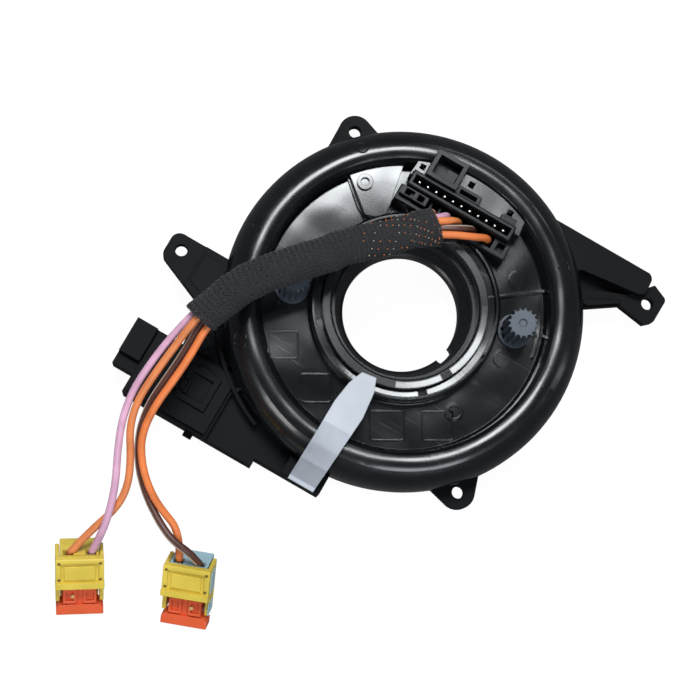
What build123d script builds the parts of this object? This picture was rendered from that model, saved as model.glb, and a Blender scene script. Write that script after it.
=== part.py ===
from build123d import *
import math
import os

os.makedirs("parts", exist_ok=True)

# The part lies on its back: Z = 0 is the plane the ears seat on, +Z points to the steering wheel.
# The rotor turns about Z. X and Y follow the pin header, whose pin row runs along X.

# Fits and clearances
running_gap = 0.1
moving_gap = 0.4
seat_gap = 0.3
socket_gap = 0.15

# Levels along the axis
rest_z = -7.0
plate_low_z = -5.0
ear_thick = 3.6
skirt_low_z = 5.0
floor_z = 10.0
crest_z = 17.0
collar_top_z = 15.0

# Bore sleeve
bore_r = 15.7
bore_land = 4.0
funnel_wide = 4.2
shelf_wide = 2.6
sleeve_room = 1.0
sleeve_flange = 0.8
sleeve_shelf_z = 10.4
key_deep = 1.5
key_angle = -14.5
key_arc = 17.0

# Rotor disc
disc_wall = 1.8
hub_wall = 3.5
lip_wide = 1.1
trough_wide = 2.0
trough_depth = 2.4
collar_wall = 1.2
floor_wide = 12.8
band_slope = 3.4
band_wide = 10.3
trough_slots = 4
trough_slot_wide = 1.6
rib_wide = 0.8
rib_high = 0.9

# Retaining ring
ring_wide = 2.8
ring_thick = 1.3
ring_notches = 4

# Stator
skirt_overhang = 2.4
wall_thick = 2.0
wall_top_z = 8.0
plate_thick = 2.0
ledge_wide = 1.6
ledge_thick = 1.2
liner_thick = 0.4
arm_top_z = 6.8
arm_thick = 3.4

# Terminal block
block_top_z = 4.6
block_wall = 1.8
cover_thick = 1.3
clip_high = 1.0
shelf_z = 2.6
pad_top_z = 7.0
block_left_x = -53.5
socket_wide = 13.6
socket_high = 10.4
socket_mid_z = 1.2
neck_wide = 11.5
neck_high = 6.2
neck_wall = 1.0
neck_inside = 1.7
neck_drop = -1.1
step_wide = 3.6
step_high = 2.0
socket_wall = 1.2
socket_out = 6.1
socket_deep = 8.2
socket_mid_y = -43.6
blade_count = 5
blade_pitch = 2.0
blade_side = 0.64
blade_out = 3.6

# Drive posts
post_angle = 19.0
post_root_r = 3.35
post_tip_r = 4.05
post_teeth = 16
post_top_z = 24.2
post_foot_r = 4.6
post_foot_h = 1.0
spigot_r = 2.0

# Pin header
pin_count = 11
pin_pitch = 2.54
pin_side = 0.64
pin_end_space = 2.7
pin_top_z = 17.6
header_mid_x = -0.4
shroud_wide = 4.4
shroud_wall = 1.0
shroud_top_z = 19.0
shroud_base = 2.5
comb_overhang = 1.3
comb_clearance = 1.2
comb_wide = 4.7
comb_top_z = 16.4
comb_floor = 0.5
comb_wall = 1.2
tower_long = 9.0
tower_deep = 7.7
tower_top_z = 20.6
tower_wall = 1.2

# Flat cable
ribbon_thick = 0.35
ribbon_turns = 6
ribbon_room = 3.9
ribbon_end_room = 0.8
ribbon_high_z = 7.4
lead_angle = -128.0
lead_wide = 7.0

# Harness
wire_d = 2.0
sleeve_d = 8.6
sleeve_wall = 0.5
plug_wide = 12.4
plug_deep = 10.8
plug_wall = 1.1
cover_long = 14.2
cover_deep = 8.6
lip_long = 8.5
core_long = 17.2
front_thick = 2.2
lock_thick = 4.0

# Lock strap
strap_thick = 1.5

# Radii that follow, from the bore outwards
sleeve_mouth_r = bore_r + funnel_wide
sleeve_shelf_r = bore_r + shelf_wide
hub_bore_r = sleeve_mouth_r + sleeve_room
hub_r = hub_bore_r + hub_wall
ring_r = hub_r + ring_wide
lip_r = hub_bore_r + lip_wide
trough_r = lip_r + trough_wide
collar_r = trough_r + collar_wall
post_ring_r = collar_r + post_foot_r + seat_gap
recess_r = collar_r + floor_wide
crest_r = recess_r + band_slope
disc_r = recess_r + band_wide
wall_r = disc_r - skirt_overhang
flange_r = disc_r - moving_gap

# Sizes that follow
band_inner_r = recess_r + disc_wall
skirt_inner_r = disc_r - disc_wall
floor_under_z = floor_z - disc_wall
hub_low_z = plate_low_z - seat_gap
plate_top_z = plate_low_z + plate_thick
wall_inner_r = wall_r - wall_thick
lead_end_r = wall_r + 5.1
ribbon_start_r = hub_r + ribbon_room
ribbon_pitch = (wall_inner_r - ledge_wide - ribbon_end_room - ribbon_start_r) / ribbon_turns
shroud_long = (pin_count - 1) * pin_pitch + 2 * pin_end_space
comb_long = shroud_long + 2 * comb_overhang
comb_mid_y = lip_r + comb_clearance + comb_wide / 2
comb_back_y = comb_mid_y + comb_wide / 2
pin_row_y = comb_back_y + shroud_wide / 2


def polar(radius, angle):
    """The point at a radius and an angle in degrees, in the XY plane."""
    return (radius * math.cos(math.radians(angle)), radius * math.sin(math.radians(angle)))


def save(part, name):
    """Labels a finished piece and writes its STEP file."""
    part.label = name
    export_step(part, f"parts/{name}.step")


# Rotor disc: one moulding with rim band, sunk floor, collar trough and the hub that the cable winds on
post_spots = [polar(post_ring_r, post_angle), polar(post_ring_r, post_angle + 180)]
tower_mid_x = header_mid_x - shroud_long / 2 + 3.0 + tower_long / 2
tower_mid_y = pin_row_y + shroud_wide / 2 + tower_deep / 2
tower_low_z = floor_z + 2.0

with BuildPart() as rotor_disc:
    with BuildSketch(Plane.XZ):
        with BuildLine():
            Line((disc_r, skirt_low_z), (disc_r - 0.1, skirt_low_z + 3.4))
            ThreePointArc(
                (disc_r - 0.1, skirt_low_z + 3.4),
                (disc_r - 1.6, crest_z - 3.3),
                (crest_r + 2.2, crest_z - 0.5),
            )
            ThreePointArc(
                (crest_r + 2.2, crest_z - 0.5),
                (crest_r, crest_z),
                (recess_r + 1.5, crest_z - 0.5),
            )
            Polyline(
                (recess_r + 1.5, crest_z - 0.5),
                (recess_r + 0.5, crest_z - 1.7),
                (recess_r, floor_z + 0.6),
                (recess_r - 0.6, floor_z),
                (collar_r + 0.3, floor_z),
                (collar_r, floor_z + 0.3),
                (collar_r, collar_top_z - 0.6),
                (collar_r - 0.6, collar_top_z),
                (trough_r, collar_top_z),
                (trough_r, collar_top_z - trough_depth),
                (lip_r, collar_top_z - trough_depth),
                (lip_r, collar_top_z - sleeve_flange),
                (hub_bore_r, collar_top_z - sleeve_flange),
                (hub_bore_r, hub_low_z),
                (hub_r, hub_low_z),
                (hub_r, floor_under_z),
                (band_inner_r, floor_under_z),
                (band_inner_r + 0.3, crest_z - 2.4),
            )
            ThreePointArc(
                (band_inner_r + 0.3, crest_z - 2.4),
                (crest_r, crest_z - disc_wall),
                (crest_r + 1.7, crest_z - 2.3),
            )
            ThreePointArc(
                (crest_r + 1.7, crest_z - 2.3),
                (disc_r - 2.9, crest_z - 4.5),
                (skirt_inner_r, skirt_low_z + 3.2),
            )
            Polyline(
                (skirt_inner_r, skirt_low_z + 3.2),
                (skirt_inner_r, skirt_low_z),
                (disc_r, skirt_low_z),
            )
        make_face()
    revolve(axis=Axis.Z)
    # Radial slots that break the collar trough
    with BuildSketch(Plane.XY.offset(collar_top_z)):
        with PolarLocations((lip_r + trough_r) / 2, trough_slots, start_angle=-4):
            Rectangle(trough_r - lip_r + 1.2, trough_slot_wide)
    extrude(amount=-trough_depth - 0.8, mode=Mode.SUBTRACT)
    # Ribs from each post to the rim, and the two beside the header
    with BuildSketch(Plane.XY.offset(floor_z)):
        for angle, inner_r in (
            (post_angle, post_ring_r + post_foot_r + socket_gap),
            (post_angle + 180, post_ring_r + post_foot_r + socket_gap),
            (post_angle + 18.5, collar_r - 0.4),
        ):
            with Locations(Location((*polar((inner_r + recess_r + 0.3) / 2, angle), 0), (0, 0, angle))):
                Rectangle(recess_r + 0.3 - inner_r, rib_wide)
    extrude(amount=rib_high)
    # Raised plate with a boss, left of the header
    with BuildSketch(Plane.XY.offset(floor_z)):
        with BuildLine():
            plate_edge = Polyline((-18.9, 32.9), (-18.4, 22.1), (-20.6, 15.4), (-24.3, 17.6), (-30.3, 22.9))
            ThreePointArc(plate_edge @ 1, polar(recess_r + 0.1, 132), plate_edge @ 0)
        make_face()
    extrude(amount=1.0)
    with BuildSketch(Plane.XY.offset(floor_z + 1.0)):
        with Locations((-25.1, 23.5)):
            Circle(2.4)
    extrude(amount=0.8)
    # Small bosses on the sunk floor
    with BuildSketch(Plane.XY.offset(floor_z)):
        for spot in (polar(31.7, 44.6), polar(29.4, 3.2), polar(30.4, -34.7)):
            with Locations(spot):
                Circle(2.5)
    extrude(amount=0.4)
    # Spigot holes under the posts
    with BuildSketch(Plane.XY.offset(floor_under_z)):
        with Locations(*post_spots):
            Circle(spigot_r + socket_gap)
    extrude(amount=2 * disc_wall, mode=Mode.SUBTRACT)
    # The header's seat: the collar and the crest are cut away round it
    with BuildSketch(Plane.XY.offset(floor_z)):
        with Locations((header_mid_x, comb_mid_y + comb_wide / 2)):
            Rectangle(comb_long + 2 * socket_gap, 2 * comb_wide + 2 * socket_gap)
    extrude(amount=crest_z, mode=Mode.SUBTRACT)
    with BuildSketch(Plane.XY.offset(tower_low_z)):
        with Locations((tower_mid_x, tower_mid_y)):
            Rectangle(tower_long + 2 * socket_gap, tower_deep + 2 * socket_gap)
    extrude(amount=crest_z, mode=Mode.SUBTRACT)

save(rotor_disc.part, "rotor_disc")

# Bore sleeve: stepped funnel pressed into the hub, with the key slot and arc slots
sleeve_r = hub_bore_r - socket_gap
sleeve_low_z = hub_low_z - ring_thick
with BuildPart() as bore_sleeve:
    with BuildSketch(Plane.XZ):
        with BuildLine():
            Polyline(
                (sleeve_mouth_r, collar_top_z),
                (lip_r - socket_gap, collar_top_z),
                (lip_r - socket_gap, collar_top_z - sleeve_flange),
                (sleeve_r, collar_top_z - sleeve_flange),
                (sleeve_r, sleeve_low_z),
                (bore_r + 2.2, sleeve_low_z),
                (bore_r + 0.7, -bore_land / 2 - 0.6),
                (bore_r, -bore_land / 2),
                (bore_r, bore_land / 2),
                (bore_r + 0.7, bore_land / 2 + 0.5),
                (sleeve_shelf_r - 0.4, 5.4),
                (sleeve_shelf_r, sleeve_shelf_z),
                (sleeve_mouth_r - 0.5, sleeve_shelf_z),
                (sleeve_mouth_r - 0.5, collar_top_z - 0.6),
                close=True,
            )
        make_face()
    revolve(axis=Axis.Z)
    # The key slot through the narrow land
    with BuildSketch(Plane.XY.offset(sleeve_low_z)):
        with BuildLine():
            key_inner = CenterArc((0, 0), bore_r - 1, key_angle - key_arc / 2, key_arc)
            key_outer = CenterArc((0, 0), bore_r + key_deep, key_angle - key_arc / 2, key_arc)
            Line(key_inner @ 0, key_outer @ 0)
            Line(key_inner @ 1, key_outer @ 1)
        make_face()
    extrude(amount=bore_land + 7, mode=Mode.SUBTRACT)

save(bore_sleeve.part, "bore_sleeve")

# Retaining ring: clips under the hub and keeps the rotor in the stator
with BuildPart() as retaining_ring:
    with BuildSketch(Plane.XY.offset(sleeve_low_z)):
        Circle(ring_r)
        Circle(hub_bore_r, mode=Mode.SUBTRACT)
        with PolarLocations(ring_r, ring_notches):
            Rectangle(2.4, 5.0, mode=Mode.SUBTRACT)
    extrude(amount=ring_thick)

save(retaining_ring.part, "retaining_ring")

# Inner lead block: takes the cable's inner end on the hub, under the header
with BuildPart() as inner_lead_block:
    with BuildSketch(Plane.XY.offset(1.0)):
        with Locations((header_mid_x, hub_r + 0.6)):
            Rectangle(9.0, 5.2)
        Circle(hub_r, mode=Mode.SUBTRACT)
    extrude(amount=floor_under_z - 1.0)
    chamfer(inner_lead_block.edges().filter_by(Axis.X).group_by(Axis.Y)[-1], 0.5)

save(inner_lead_block.part, "inner_lead_block")

# Drive posts: serrated columns on a round foot, with a spigot through the disc
post_names = ("drive_post_right", "drive_post_left")
for post_name, spot, turn in zip(post_names, post_spots, (post_angle, post_angle + 180)):
    with BuildPart() as post:
        with BuildSketch(Plane(origin=(*spot, floor_under_z))):
            Circle(spigot_r)
        extrude(amount=disc_wall)
        with BuildSketch(Plane(origin=(*spot, floor_z))):
            Circle(post_foot_r)
        extrude(amount=post_foot_h)
        with BuildSketch(Plane(origin=(*spot, floor_z + post_foot_h))):
            Circle(post_root_r)
            with PolarLocations(0, post_teeth, start_angle=turn):
                with Locations(((post_root_r + post_tip_r) / 2 - 0.1, 0)):
                    Trapezoid(0.85, post_tip_r - post_root_r + 0.2, 68, rotation=-90)
        extrude(amount=post_top_z - floor_z - post_foot_h)
        chamfer(post.faces().sort_by(Axis.Z)[0].edges(), 0.3)
        with BuildSketch(Plane(origin=(*spot, post_top_z))):
            Circle(1.1)
        extrude(amount=-0.5, taper=20, mode=Mode.SUBTRACT)
    save(post.part, post_name)

# Pin header: upper shroud with its latch tower and window
shroud_back_y = pin_row_y + shroud_wide / 2
with BuildPart() as header_shell:
    with BuildSketch(Plane.XY.offset(floor_z)):
        with Locations((header_mid_x, pin_row_y)):
            Rectangle(shroud_long, shroud_wide)
    extrude(amount=shroud_top_z - floor_z)
    chamfer(header_shell.faces().sort_by(Axis.Z)[-1].edges(), 0.3)
    # Latch tower behind the shroud's left end
    with BuildSketch(Plane.XY.offset(tower_low_z)):
        with Locations((tower_mid_x, tower_mid_y)):
            Rectangle(tower_long, tower_deep)
    extrude(amount=tower_top_z - tower_low_z)
    with BuildSketch(Plane.XY.offset(tower_top_z)):
        with Locations((tower_mid_x, tower_mid_y)):
            Rectangle(tower_long - 2 * tower_wall, tower_deep - 2 * tower_wall)
    extrude(amount=-5.0, mode=Mode.SUBTRACT)
    # Window frame of the middle latch, and the right corner clip
    with BuildSketch(Plane.XY.offset(floor_z)):
        with Locations((header_mid_x + 0.2, shroud_back_y + 1.2)):
            Rectangle(7.0, 2.4)
        with Locations((header_mid_x + 12.6, shroud_back_y + 0.9)):
            Rectangle(4.0, 1.8)
    extrude(amount=shroud_top_z - floor_z - 0.4)
    with BuildSketch(Plane.XY.offset(shroud_top_z - 0.4)):
        with Locations((header_mid_x + 0.2, shroud_back_y + 1.0)):
            Rectangle(5.0, 1.2)
    extrude(amount=-4.0, mode=Mode.SUBTRACT)
    # The cavity that the pins stand in
    with BuildSketch(Plane.XY.offset(shroud_top_z)):
        with Locations((header_mid_x, pin_row_y)):
            Rectangle(shroud_long - 2 * shroud_wall, shroud_wide - 2 * shroud_wall)
    extrude(amount=-(shroud_top_z - floor_z - shroud_base), mode=Mode.SUBTRACT)

save(header_shell.part, "header_shell")

# Header pins: square posts that stand on the shroud's base
with BuildPart() as header_pins:
    with BuildSketch(Plane.XY.offset(floor_z + shroud_base)):
        with Locations((header_mid_x, pin_row_y)):
            with GridLocations(pin_pitch, 1, pin_count, 1):
                Rectangle(pin_side, pin_side)
    extrude(amount=pin_top_z - floor_z - shroud_base)
    chamfer(header_pins.faces().filter_by(Axis.Z).group_by(Axis.Z)[-1].edges(), 0.15)

save(header_pins.part, "header_pins")

# Header comb: lower housing with the slot that the harness wires come out of
comb_floor_z = floor_z + comb_floor
with BuildPart() as header_comb:
    with BuildSketch(Plane.XY.offset(floor_z)):
        with Locations((header_mid_x, comb_mid_y)):
            Rectangle(comb_long, comb_wide - socket_gap)
    extrude(amount=comb_top_z - floor_z)
    chamfer(header_comb.faces().sort_by(Axis.Z)[-1].edges(), 0.3)
    # Long slot, with the dividers left standing in it
    with BuildSketch(Plane.XY.offset(comb_top_z)):
        with Locations((header_mid_x, comb_mid_y + comb_wall / 2)):
            Rectangle(comb_long - 9.4, comb_wide - comb_wall)
        for divider_x in (-10.0, -7.4, -4.8, -0.2, 3.7, 8.1):
            with Locations((divider_x, comb_mid_y)):
                Rectangle(0.7, comb_wide, mode=Mode.SUBTRACT)
    extrude(amount=-(comb_top_z - comb_floor_z), mode=Mode.SUBTRACT)
    with BuildSketch(Plane.XY.offset(comb_top_z)):
        with Locations((header_mid_x, comb_mid_y + comb_wall / 2)):
            Rectangle(comb_long - 9.4, comb_wide - comb_wall)
    extrude(amount=-1.2, mode=Mode.SUBTRACT)
    # Square windows at both ends
    with BuildSketch(Plane.XY.offset(comb_top_z)):
        with Locations((header_mid_x, comb_mid_y + 0.4)):
            with GridLocations(comb_long - 4.8, 1, 2, 1):
                Rectangle(2.2, 2.4)
    extrude(amount=-3.0, mode=Mode.SUBTRACT)

save(header_comb.part, "header_comb")

# Stator case: tub wall with its flange, four ears, the bracket arm and the terminal block
left_hole = (-59.2, -15.1)
right_hole = (56.6, 36.1)
top_hole = polar(disc_r + 2.7, 133.7)
low_hole = polar(disc_r + 2.0, -43.0)
ear_hole_r = 1.65

chamber_box = ((-51.7, -53.9), (-30.0, -38.7))
with BuildPart() as stator_case:
    # Wall and flange
    with BuildSketch(Plane.XY.offset(rest_z)):
        Circle(wall_r)
    extrude(amount=wall_top_z - rest_z)
    with BuildSketch(Plane.XY):
        Circle(flange_r)
    extrude(amount=ear_thick)
    # Top and bottom ears: a rounded tongue on the flange
    for spot, turn in ((top_hole, 133.7), (low_hole, -43.0)):
        with BuildSketch(Plane.XY):
            with Locations(spot):
                Circle(4.5)
            with Locations(polar(wall_r - 3, turn - 11.5), polar(wall_r - 3, turn + 11.5)):
                Circle(1.0)
            make_hull()
        extrude(amount=ear_thick)
    # Left ear: a broad tab with a stepped root
    with BuildSketch(Plane.XY):
        with BuildLine():
            Polyline((-40, -11), (-63.2, -11), (-63.2, -18.9), (-50.5, -24.3), (-40, -30), close=True)
        make_face()
        fillet(vertices().group_by(Axis.X)[0], 2.6)
    extrude(amount=ear_thick)
    with BuildSketch(Plane.XY.offset(ear_thick)):
        with BuildLine():
            Polyline((-40, -12.4), (-53.6, -12.4), (-53.6, -21.4), (-40, -27), close=True)
        make_face()
    extrude(amount=1.0, taper=30)
    # Right ear and the bar that carries it
    with BuildSketch(Plane.XY):
        with BuildLine():
            Polyline(
                (38, 27), (42.6, 26.6), (50.2, 31.8), (58.4, 30.6), (60.4, 32.4), (60.6, 39.6),
                (56.0, 41.6), (50.8, 35.6), (40, 31), close=True,
            )
        make_face()
        fillet(vertices().group_by(Axis.X)[-2:], 1.4)
    extrude(amount=ear_thick)
    # Bracket arm, raised over the ear
    with BuildSketch(Plane.XY.offset(arm_top_z - arm_thick)):
        with BuildLine():
            Polyline((20, 42.9), (54.2, 42.9), (54.6, 36.6), (36.6, 34.4), (30, 30), close=True)
        make_face()
        fillet(vertices().group_by(Axis.X)[-2:], 2.0)
        Circle(wall_r - 0.5, mode=Mode.SUBTRACT)
    extrude(amount=arm_thick)
    with BuildSketch(Plane.XY):
        with BuildLine():
            Polyline((20, 42.9), (53.0, 42.9), (53.0, 41.1), (20, 41.1), close=True)
        make_face()
    extrude(amount=arm_top_z)
    # Terminal block: high part with the chamber, low shelf, and the pad under the strap's foot
    with BuildSketch(Plane.XY.offset(rest_z)):
        with BuildLine():
            Polyline(
                (-53.5, -36.9), (-53.5, -55.7), (-14.4, -55.7), (-14.4, -53.5), (5.0, -53.5),
                (5.0, -40), (-20, -38), (-26, -36.9), close=True,
            )
        make_face()
    extrude(amount=shelf_z - rest_z)
    with BuildSketch(Plane.XY.offset(shelf_z)):
        with BuildLine():
            Polyline((-53.5, -36.9), (-53.5, -55.7), (-28.2, -55.7), (-28.2, -36.9), close=True)
        make_face()
    extrude(amount=block_top_z - shelf_z)
    with BuildSketch(Plane.XY.offset(shelf_z)):
        with BuildLine():
            Polyline((-6.4, -53.5), (5.0, -53.5), (5.0, -46.6), (-6.4, -47.4), close=True)
        make_face()
    extrude(amount=pad_top_z - shelf_z)
    # Nub on the block's long edge
    with BuildSketch(Plane.XY.offset(rest_z)):
        with Locations((-33.2, -56.2)):
            Rectangle(2.4, 1.6)
    extrude(amount=4.0)
    # Hollow of the tub, with the ledge that the rear plate seats on
    with BuildSketch(Plane.XY.offset(rest_z)):
        Circle(wall_inner_r)
    extrude(amount=plate_top_z - rest_z, mode=Mode.SUBTRACT)
    with BuildSketch(Plane.XY.offset(plate_top_z)):
        Circle(wall_inner_r - ledge_wide)
    extrude(amount=ledge_thick, mode=Mode.SUBTRACT)
    with BuildSketch(Plane.XY.offset(plate_top_z + ledge_thick)):
        Circle(wall_inner_r)
    extrude(amount=wall_top_z - rest_z, mode=Mode.SUBTRACT)
    # Turning room under and round the disc's skirt
    with BuildSketch(Plane.XY.offset(skirt_low_z - moving_gap)):
        Circle(disc_r + moving_gap)
        Circle(wall_r, mode=Mode.SUBTRACT)
    extrude(amount=wall_top_z, mode=Mode.SUBTRACT)
    # Terminal chamber, the window for the cable lead, and the mouth for the side connector
    with BuildSketch(Plane.XY.offset(plate_low_z)):
        with Locations(((chamber_box[0][0] + chamber_box[1][0]) / 2, (chamber_box[0][1] + chamber_box[1][1]) / 2)):
            Rectangle(chamber_box[1][0] - chamber_box[0][0], chamber_box[1][1] - chamber_box[0][1])
    extrude(amount=block_top_z - plate_low_z, mode=Mode.SUBTRACT)
    with BuildSketch(Plane(origin=(0, 0, -1.5), x_dir=(*polar(1, lead_angle), 0), z_dir=(0, 0, 1))):
        with Locations((wall_r + 1.5, 0)):
            Rectangle(9.0, lead_wide + 2 * socket_gap)
    extrude(amount=5.0 + socket_gap, mode=Mode.SUBTRACT)
    with BuildSketch(
        Plane(origin=(block_left_x, socket_mid_y, socket_mid_z + neck_drop), x_dir=(0, 1, 0), z_dir=(1, 0, 0))
    ):
        Rectangle(neck_wide + 2 * socket_gap, neck_high + 2 * socket_gap)
    extrude(amount=block_wall + neck_inside + socket_gap, mode=Mode.SUBTRACT)
    # Ear holes
    with BuildSketch(Plane.XY):
        with Locations(left_hole, right_hole, top_hole, low_hole):
            Circle(ear_hole_r)
    extrude(amount=ear_thick, mode=Mode.SUBTRACT)

save(stator_case.part, "stator_case")

# Rear plate: closes the tub from behind and carries the hub in its bore
with BuildPart() as rear_plate:
    with BuildSketch(Plane.XY.offset(plate_low_z)):
        Circle(wall_inner_r - socket_gap)
        Circle(hub_r + running_gap, mode=Mode.SUBTRACT)
    extrude(amount=plate_thick)
    with BuildSketch(Plane.XY.offset(plate_low_z)):
        with PolarLocations((ring_r + wall_inner_r) / 2 + 0.8, 12):
            Rectangle(wall_inner_r - ring_r - 4, 1.2)
    extrude(amount=-1.2)

save(rear_plate.part, "rear_plate")

# Liner: low-friction sheet that the cable slides on
with BuildPart() as cable_liner:
    with BuildSketch(Plane.XY.offset(plate_top_z)):
        Circle(wall_inner_r - ledge_wide - seat_gap)
        Circle(hub_r + 0.8, mode=Mode.SUBTRACT)
    extrude(amount=liner_thick)

save(cable_liner.part, "cable_liner")

# Flat cable: one strip wound in a spiral of half circles whose centres alternate
ribbon_low_z = plate_top_z + liner_thick + seat_gap
with BuildPart() as flat_cable:
    spiral_plane = Plane(
        origin=(0, 0, ribbon_low_z), x_dir=(*polar(1, lead_angle), 0), z_dir=(0, 0, 1)
    )
    with BuildSketch(spiral_plane):
        with BuildLine():
            inner_r = ribbon_start_r
            for half in range(2 * ribbon_turns):
                centre_x = 0 if half % 2 == 0 else ribbon_pitch / 2
                start = 0 if half % 2 == 0 else 180
                CenterArc((centre_x, 0), inner_r, start, 180)
                CenterArc((centre_x, 0), inner_r + ribbon_thick, start, 180)
                inner_r += ribbon_pitch / 2
            outer_x = inner_r
            Line((ribbon_start_r, 0), (ribbon_start_r + ribbon_thick, 0))
            Line((outer_x, 0), (outer_x + ribbon_thick, 0))
        make_face()
    extrude(amount=ribbon_high_z - ribbon_low_z)

save(flat_cable.part, "flat_cable")

# Outer lead block: takes the cable's outer end through the wall into the terminal chamber
cable_end_r = ribbon_start_r + ribbon_pitch * ribbon_turns + ribbon_thick
with BuildPart() as outer_lead_block:
    with BuildSketch(Plane(origin=(0, 0, -1.5), x_dir=(*polar(1, lead_angle), 0), z_dir=(0, 0, 1))):
        with Locations(((cable_end_r + socket_gap + lead_end_r) / 2, 0)):
            Rectangle(lead_end_r - cable_end_r - socket_gap, lead_wide)
    extrude(amount=5.0)
    chamfer(outer_lead_block.edges().filter_by(Axis.Z), 0.4)

save(outer_lead_block.part, "outer_lead_block")

# Side connector: socket shell of the column harness, with a neck set into the block's left wall
socket_face_x = block_left_x - socket_out
socket_plane = Plane(origin=(socket_face_x, socket_mid_y, socket_mid_z), x_dir=(0, 1, 0), z_dir=(1, 0, 0))
neck_long = block_wall + neck_inside
with BuildPart() as side_connector:
    with BuildSketch(socket_plane):
        Rectangle(socket_wide, socket_high)
    extrude(amount=socket_out)
    with BuildSketch(socket_plane.offset(socket_out)):
        with Locations((0, neck_drop)):
            Rectangle(neck_wide, neck_high)
    extrude(amount=neck_long)
    # Key step along the top of the shell's low side
    with BuildSketch(socket_plane):
        with Locations((-(socket_wide - step_wide) / 2, (socket_high - step_high) / 2)):
            Rectangle(step_wide, step_high)
    extrude(amount=socket_out, mode=Mode.SUBTRACT)
    # Mouth, narrowed where it enters the neck
    with BuildSketch(socket_plane):
        with Locations((0, neck_drop)):
            Rectangle(socket_wide - 2 * socket_wall, neck_high + 1.2)
    extrude(amount=socket_out - socket_wall, mode=Mode.SUBTRACT)
    with BuildSketch(socket_plane):
        with Locations((0, neck_drop)):
            Rectangle(neck_wide - 2 * neck_wall, neck_high - 2 * neck_wall)
    extrude(amount=socket_deep, mode=Mode.SUBTRACT)
    # Slots for the blades in the back wall
    with BuildSketch(socket_plane.offset(socket_deep)):
        with Locations((0, neck_drop)):
            with GridLocations(blade_pitch, 1, blade_count, 1):
                Rectangle(blade_side, blade_side)
    extrude(amount=neck_long, mode=Mode.SUBTRACT)

save(side_connector.part, "side_connector")

# Side terminals: blades through the connector's back wall
with BuildPart() as side_terminals:
    with BuildSketch(socket_plane.offset(socket_deep - blade_out)):
        with Locations((0, neck_drop)):
            with GridLocations(blade_pitch, 1, blade_count, 1):
                Rectangle(blade_side, blade_side)
    extrude(amount=blade_out + 4.4)

save(side_terminals.part, "side_terminals")

# Block cover: clip-on lid of the terminal chamber, with its raised clip
with BuildPart() as block_cover:
    with BuildSketch(Plane.XY.offset(block_top_z)):
        with BuildLine():
            Polyline((-52.9, -37.6), (-52.9, -55.0), (-29.0, -55.0), (-29.0, -38.0), (-31.6, -37.6), close=True)
        make_face()
        fillet(vertices().group_by(Axis.X)[0], 1.0)
    extrude(amount=cover_thick)
    with BuildSketch(Plane.XY.offset(block_top_z + cover_thick)):
        with Locations((-36.6, -45.2)):
            Rectangle(9.0, 9.6)
            Rectangle(6.0, 6.6, mode=Mode.SUBTRACT)
        with Locations((-36.6, -40.6)):
            Rectangle(4.0, 1.6)
    extrude(amount=clip_high)
    # Turning room round the disc's skirt
    with BuildSketch(Plane.XY.offset(block_top_z)):
        Circle(disc_r + moving_gap)
    extrude(amount=cover_thick + clip_high, mode=Mode.SUBTRACT)
    # Rim that locates the lid in the chamber
    with BuildSketch(Plane.XY.offset(block_top_z)):
        with Locations(((chamber_box[0][0] + chamber_box[1][0]) / 2, (chamber_box[0][1] + chamber_box[1][1]) / 2)):
            Rectangle(
                chamber_box[1][0] - chamber_box[0][0] - 2 * socket_gap,
                chamber_box[1][1] - chamber_box[0][1] - 2 * socket_gap,
            )
            Rectangle(
                chamber_box[1][0] - chamber_box[0][0] - 2.4,
                chamber_box[1][1] - chamber_box[0][1] - 2.4,
                mode=Mode.SUBTRACT,
            )
    extrude(amount=-0.15)

save(block_cover.part, "block_cover")

# Lock strap: arched tongue from the collar over the rim band to the block's corner pad
strap_tip_y = -collar_r + 4.3
strap_foot_y = -disc_r - 5.7
foot_z = pad_top_z + seat_gap
with BuildPart() as lock_strap:
    with BuildSketch(Plane.YZ.offset(-8)):
        with BuildLine():
            under = Polyline(
                (strap_tip_y, collar_top_z + seat_gap),
                (-collar_r - 1.8, collar_top_z + 0.8),
                (-recess_r + 0.5, crest_z + seat_gap + 0.2),
                (-crest_r - 1.8, crest_z + seat_gap),
                (-disc_r + 1.1, crest_z - 1.9),
                (-disc_r - 3.7, foot_z),
                (strap_foot_y, foot_z),
            )
            offset(under, amount=strap_thick, side=Side.RIGHT)
        make_face()
    extrude(amount=16)
    with BuildSketch(Plane.XY.offset(foot_z)):
        with BuildLine():
            Polyline(
                (-1.3, strap_tip_y - 0.4), (2.7, strap_tip_y + 0.2), (4.1, strap_tip_y - 3.7),
                (4.8, strap_tip_y - 11.1), (4.2, strap_tip_y - 19.1), (3.7, -disc_r + 1.1),
                (3.3, strap_foot_y), (-4.3, strap_foot_y), (-4.1, -disc_r + 1.1),
                (-3.9, strap_tip_y - 19.1), (-3.8, strap_tip_y - 10.6), (-2.9, strap_tip_y - 4.6), close=True,
            )
        make_face()
    extrude(amount=crest_z, mode=Mode.INTERSECT)

save(lock_strap.part, "lock_strap")


# Harness: four wires from the header comb through the woven sleeve to two airbag plugs
def corner_radii(points):
    """The largest arc each corner's two runs allow, for a smooth cord."""
    radii = []
    for before, corner, after in zip(points, points[1:], points[2:]):
        arrive = Vector(corner) - Vector(before)
        leave = Vector(after) - Vector(corner)
        turn = math.radians(arrive.get_angle(leave))
        radii.append(0.45 * min(arrive.length, leave.length) / math.tan(turn / 2))
    return radii


def cord_check(name, points, section, volume):
    """Prints the cord's radii and compares its volume with section times length."""
    with BuildLine() as path:
        FilletPolyline(*points, radius=corner_radii(points))
    length = path.wire().length
    radii = [round(radius, 1) for radius in corner_radii(points)]
    print(name, "length", round(length, 1), "volume ratio", round(volume / section / length, 4), "radii", radii)


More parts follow.
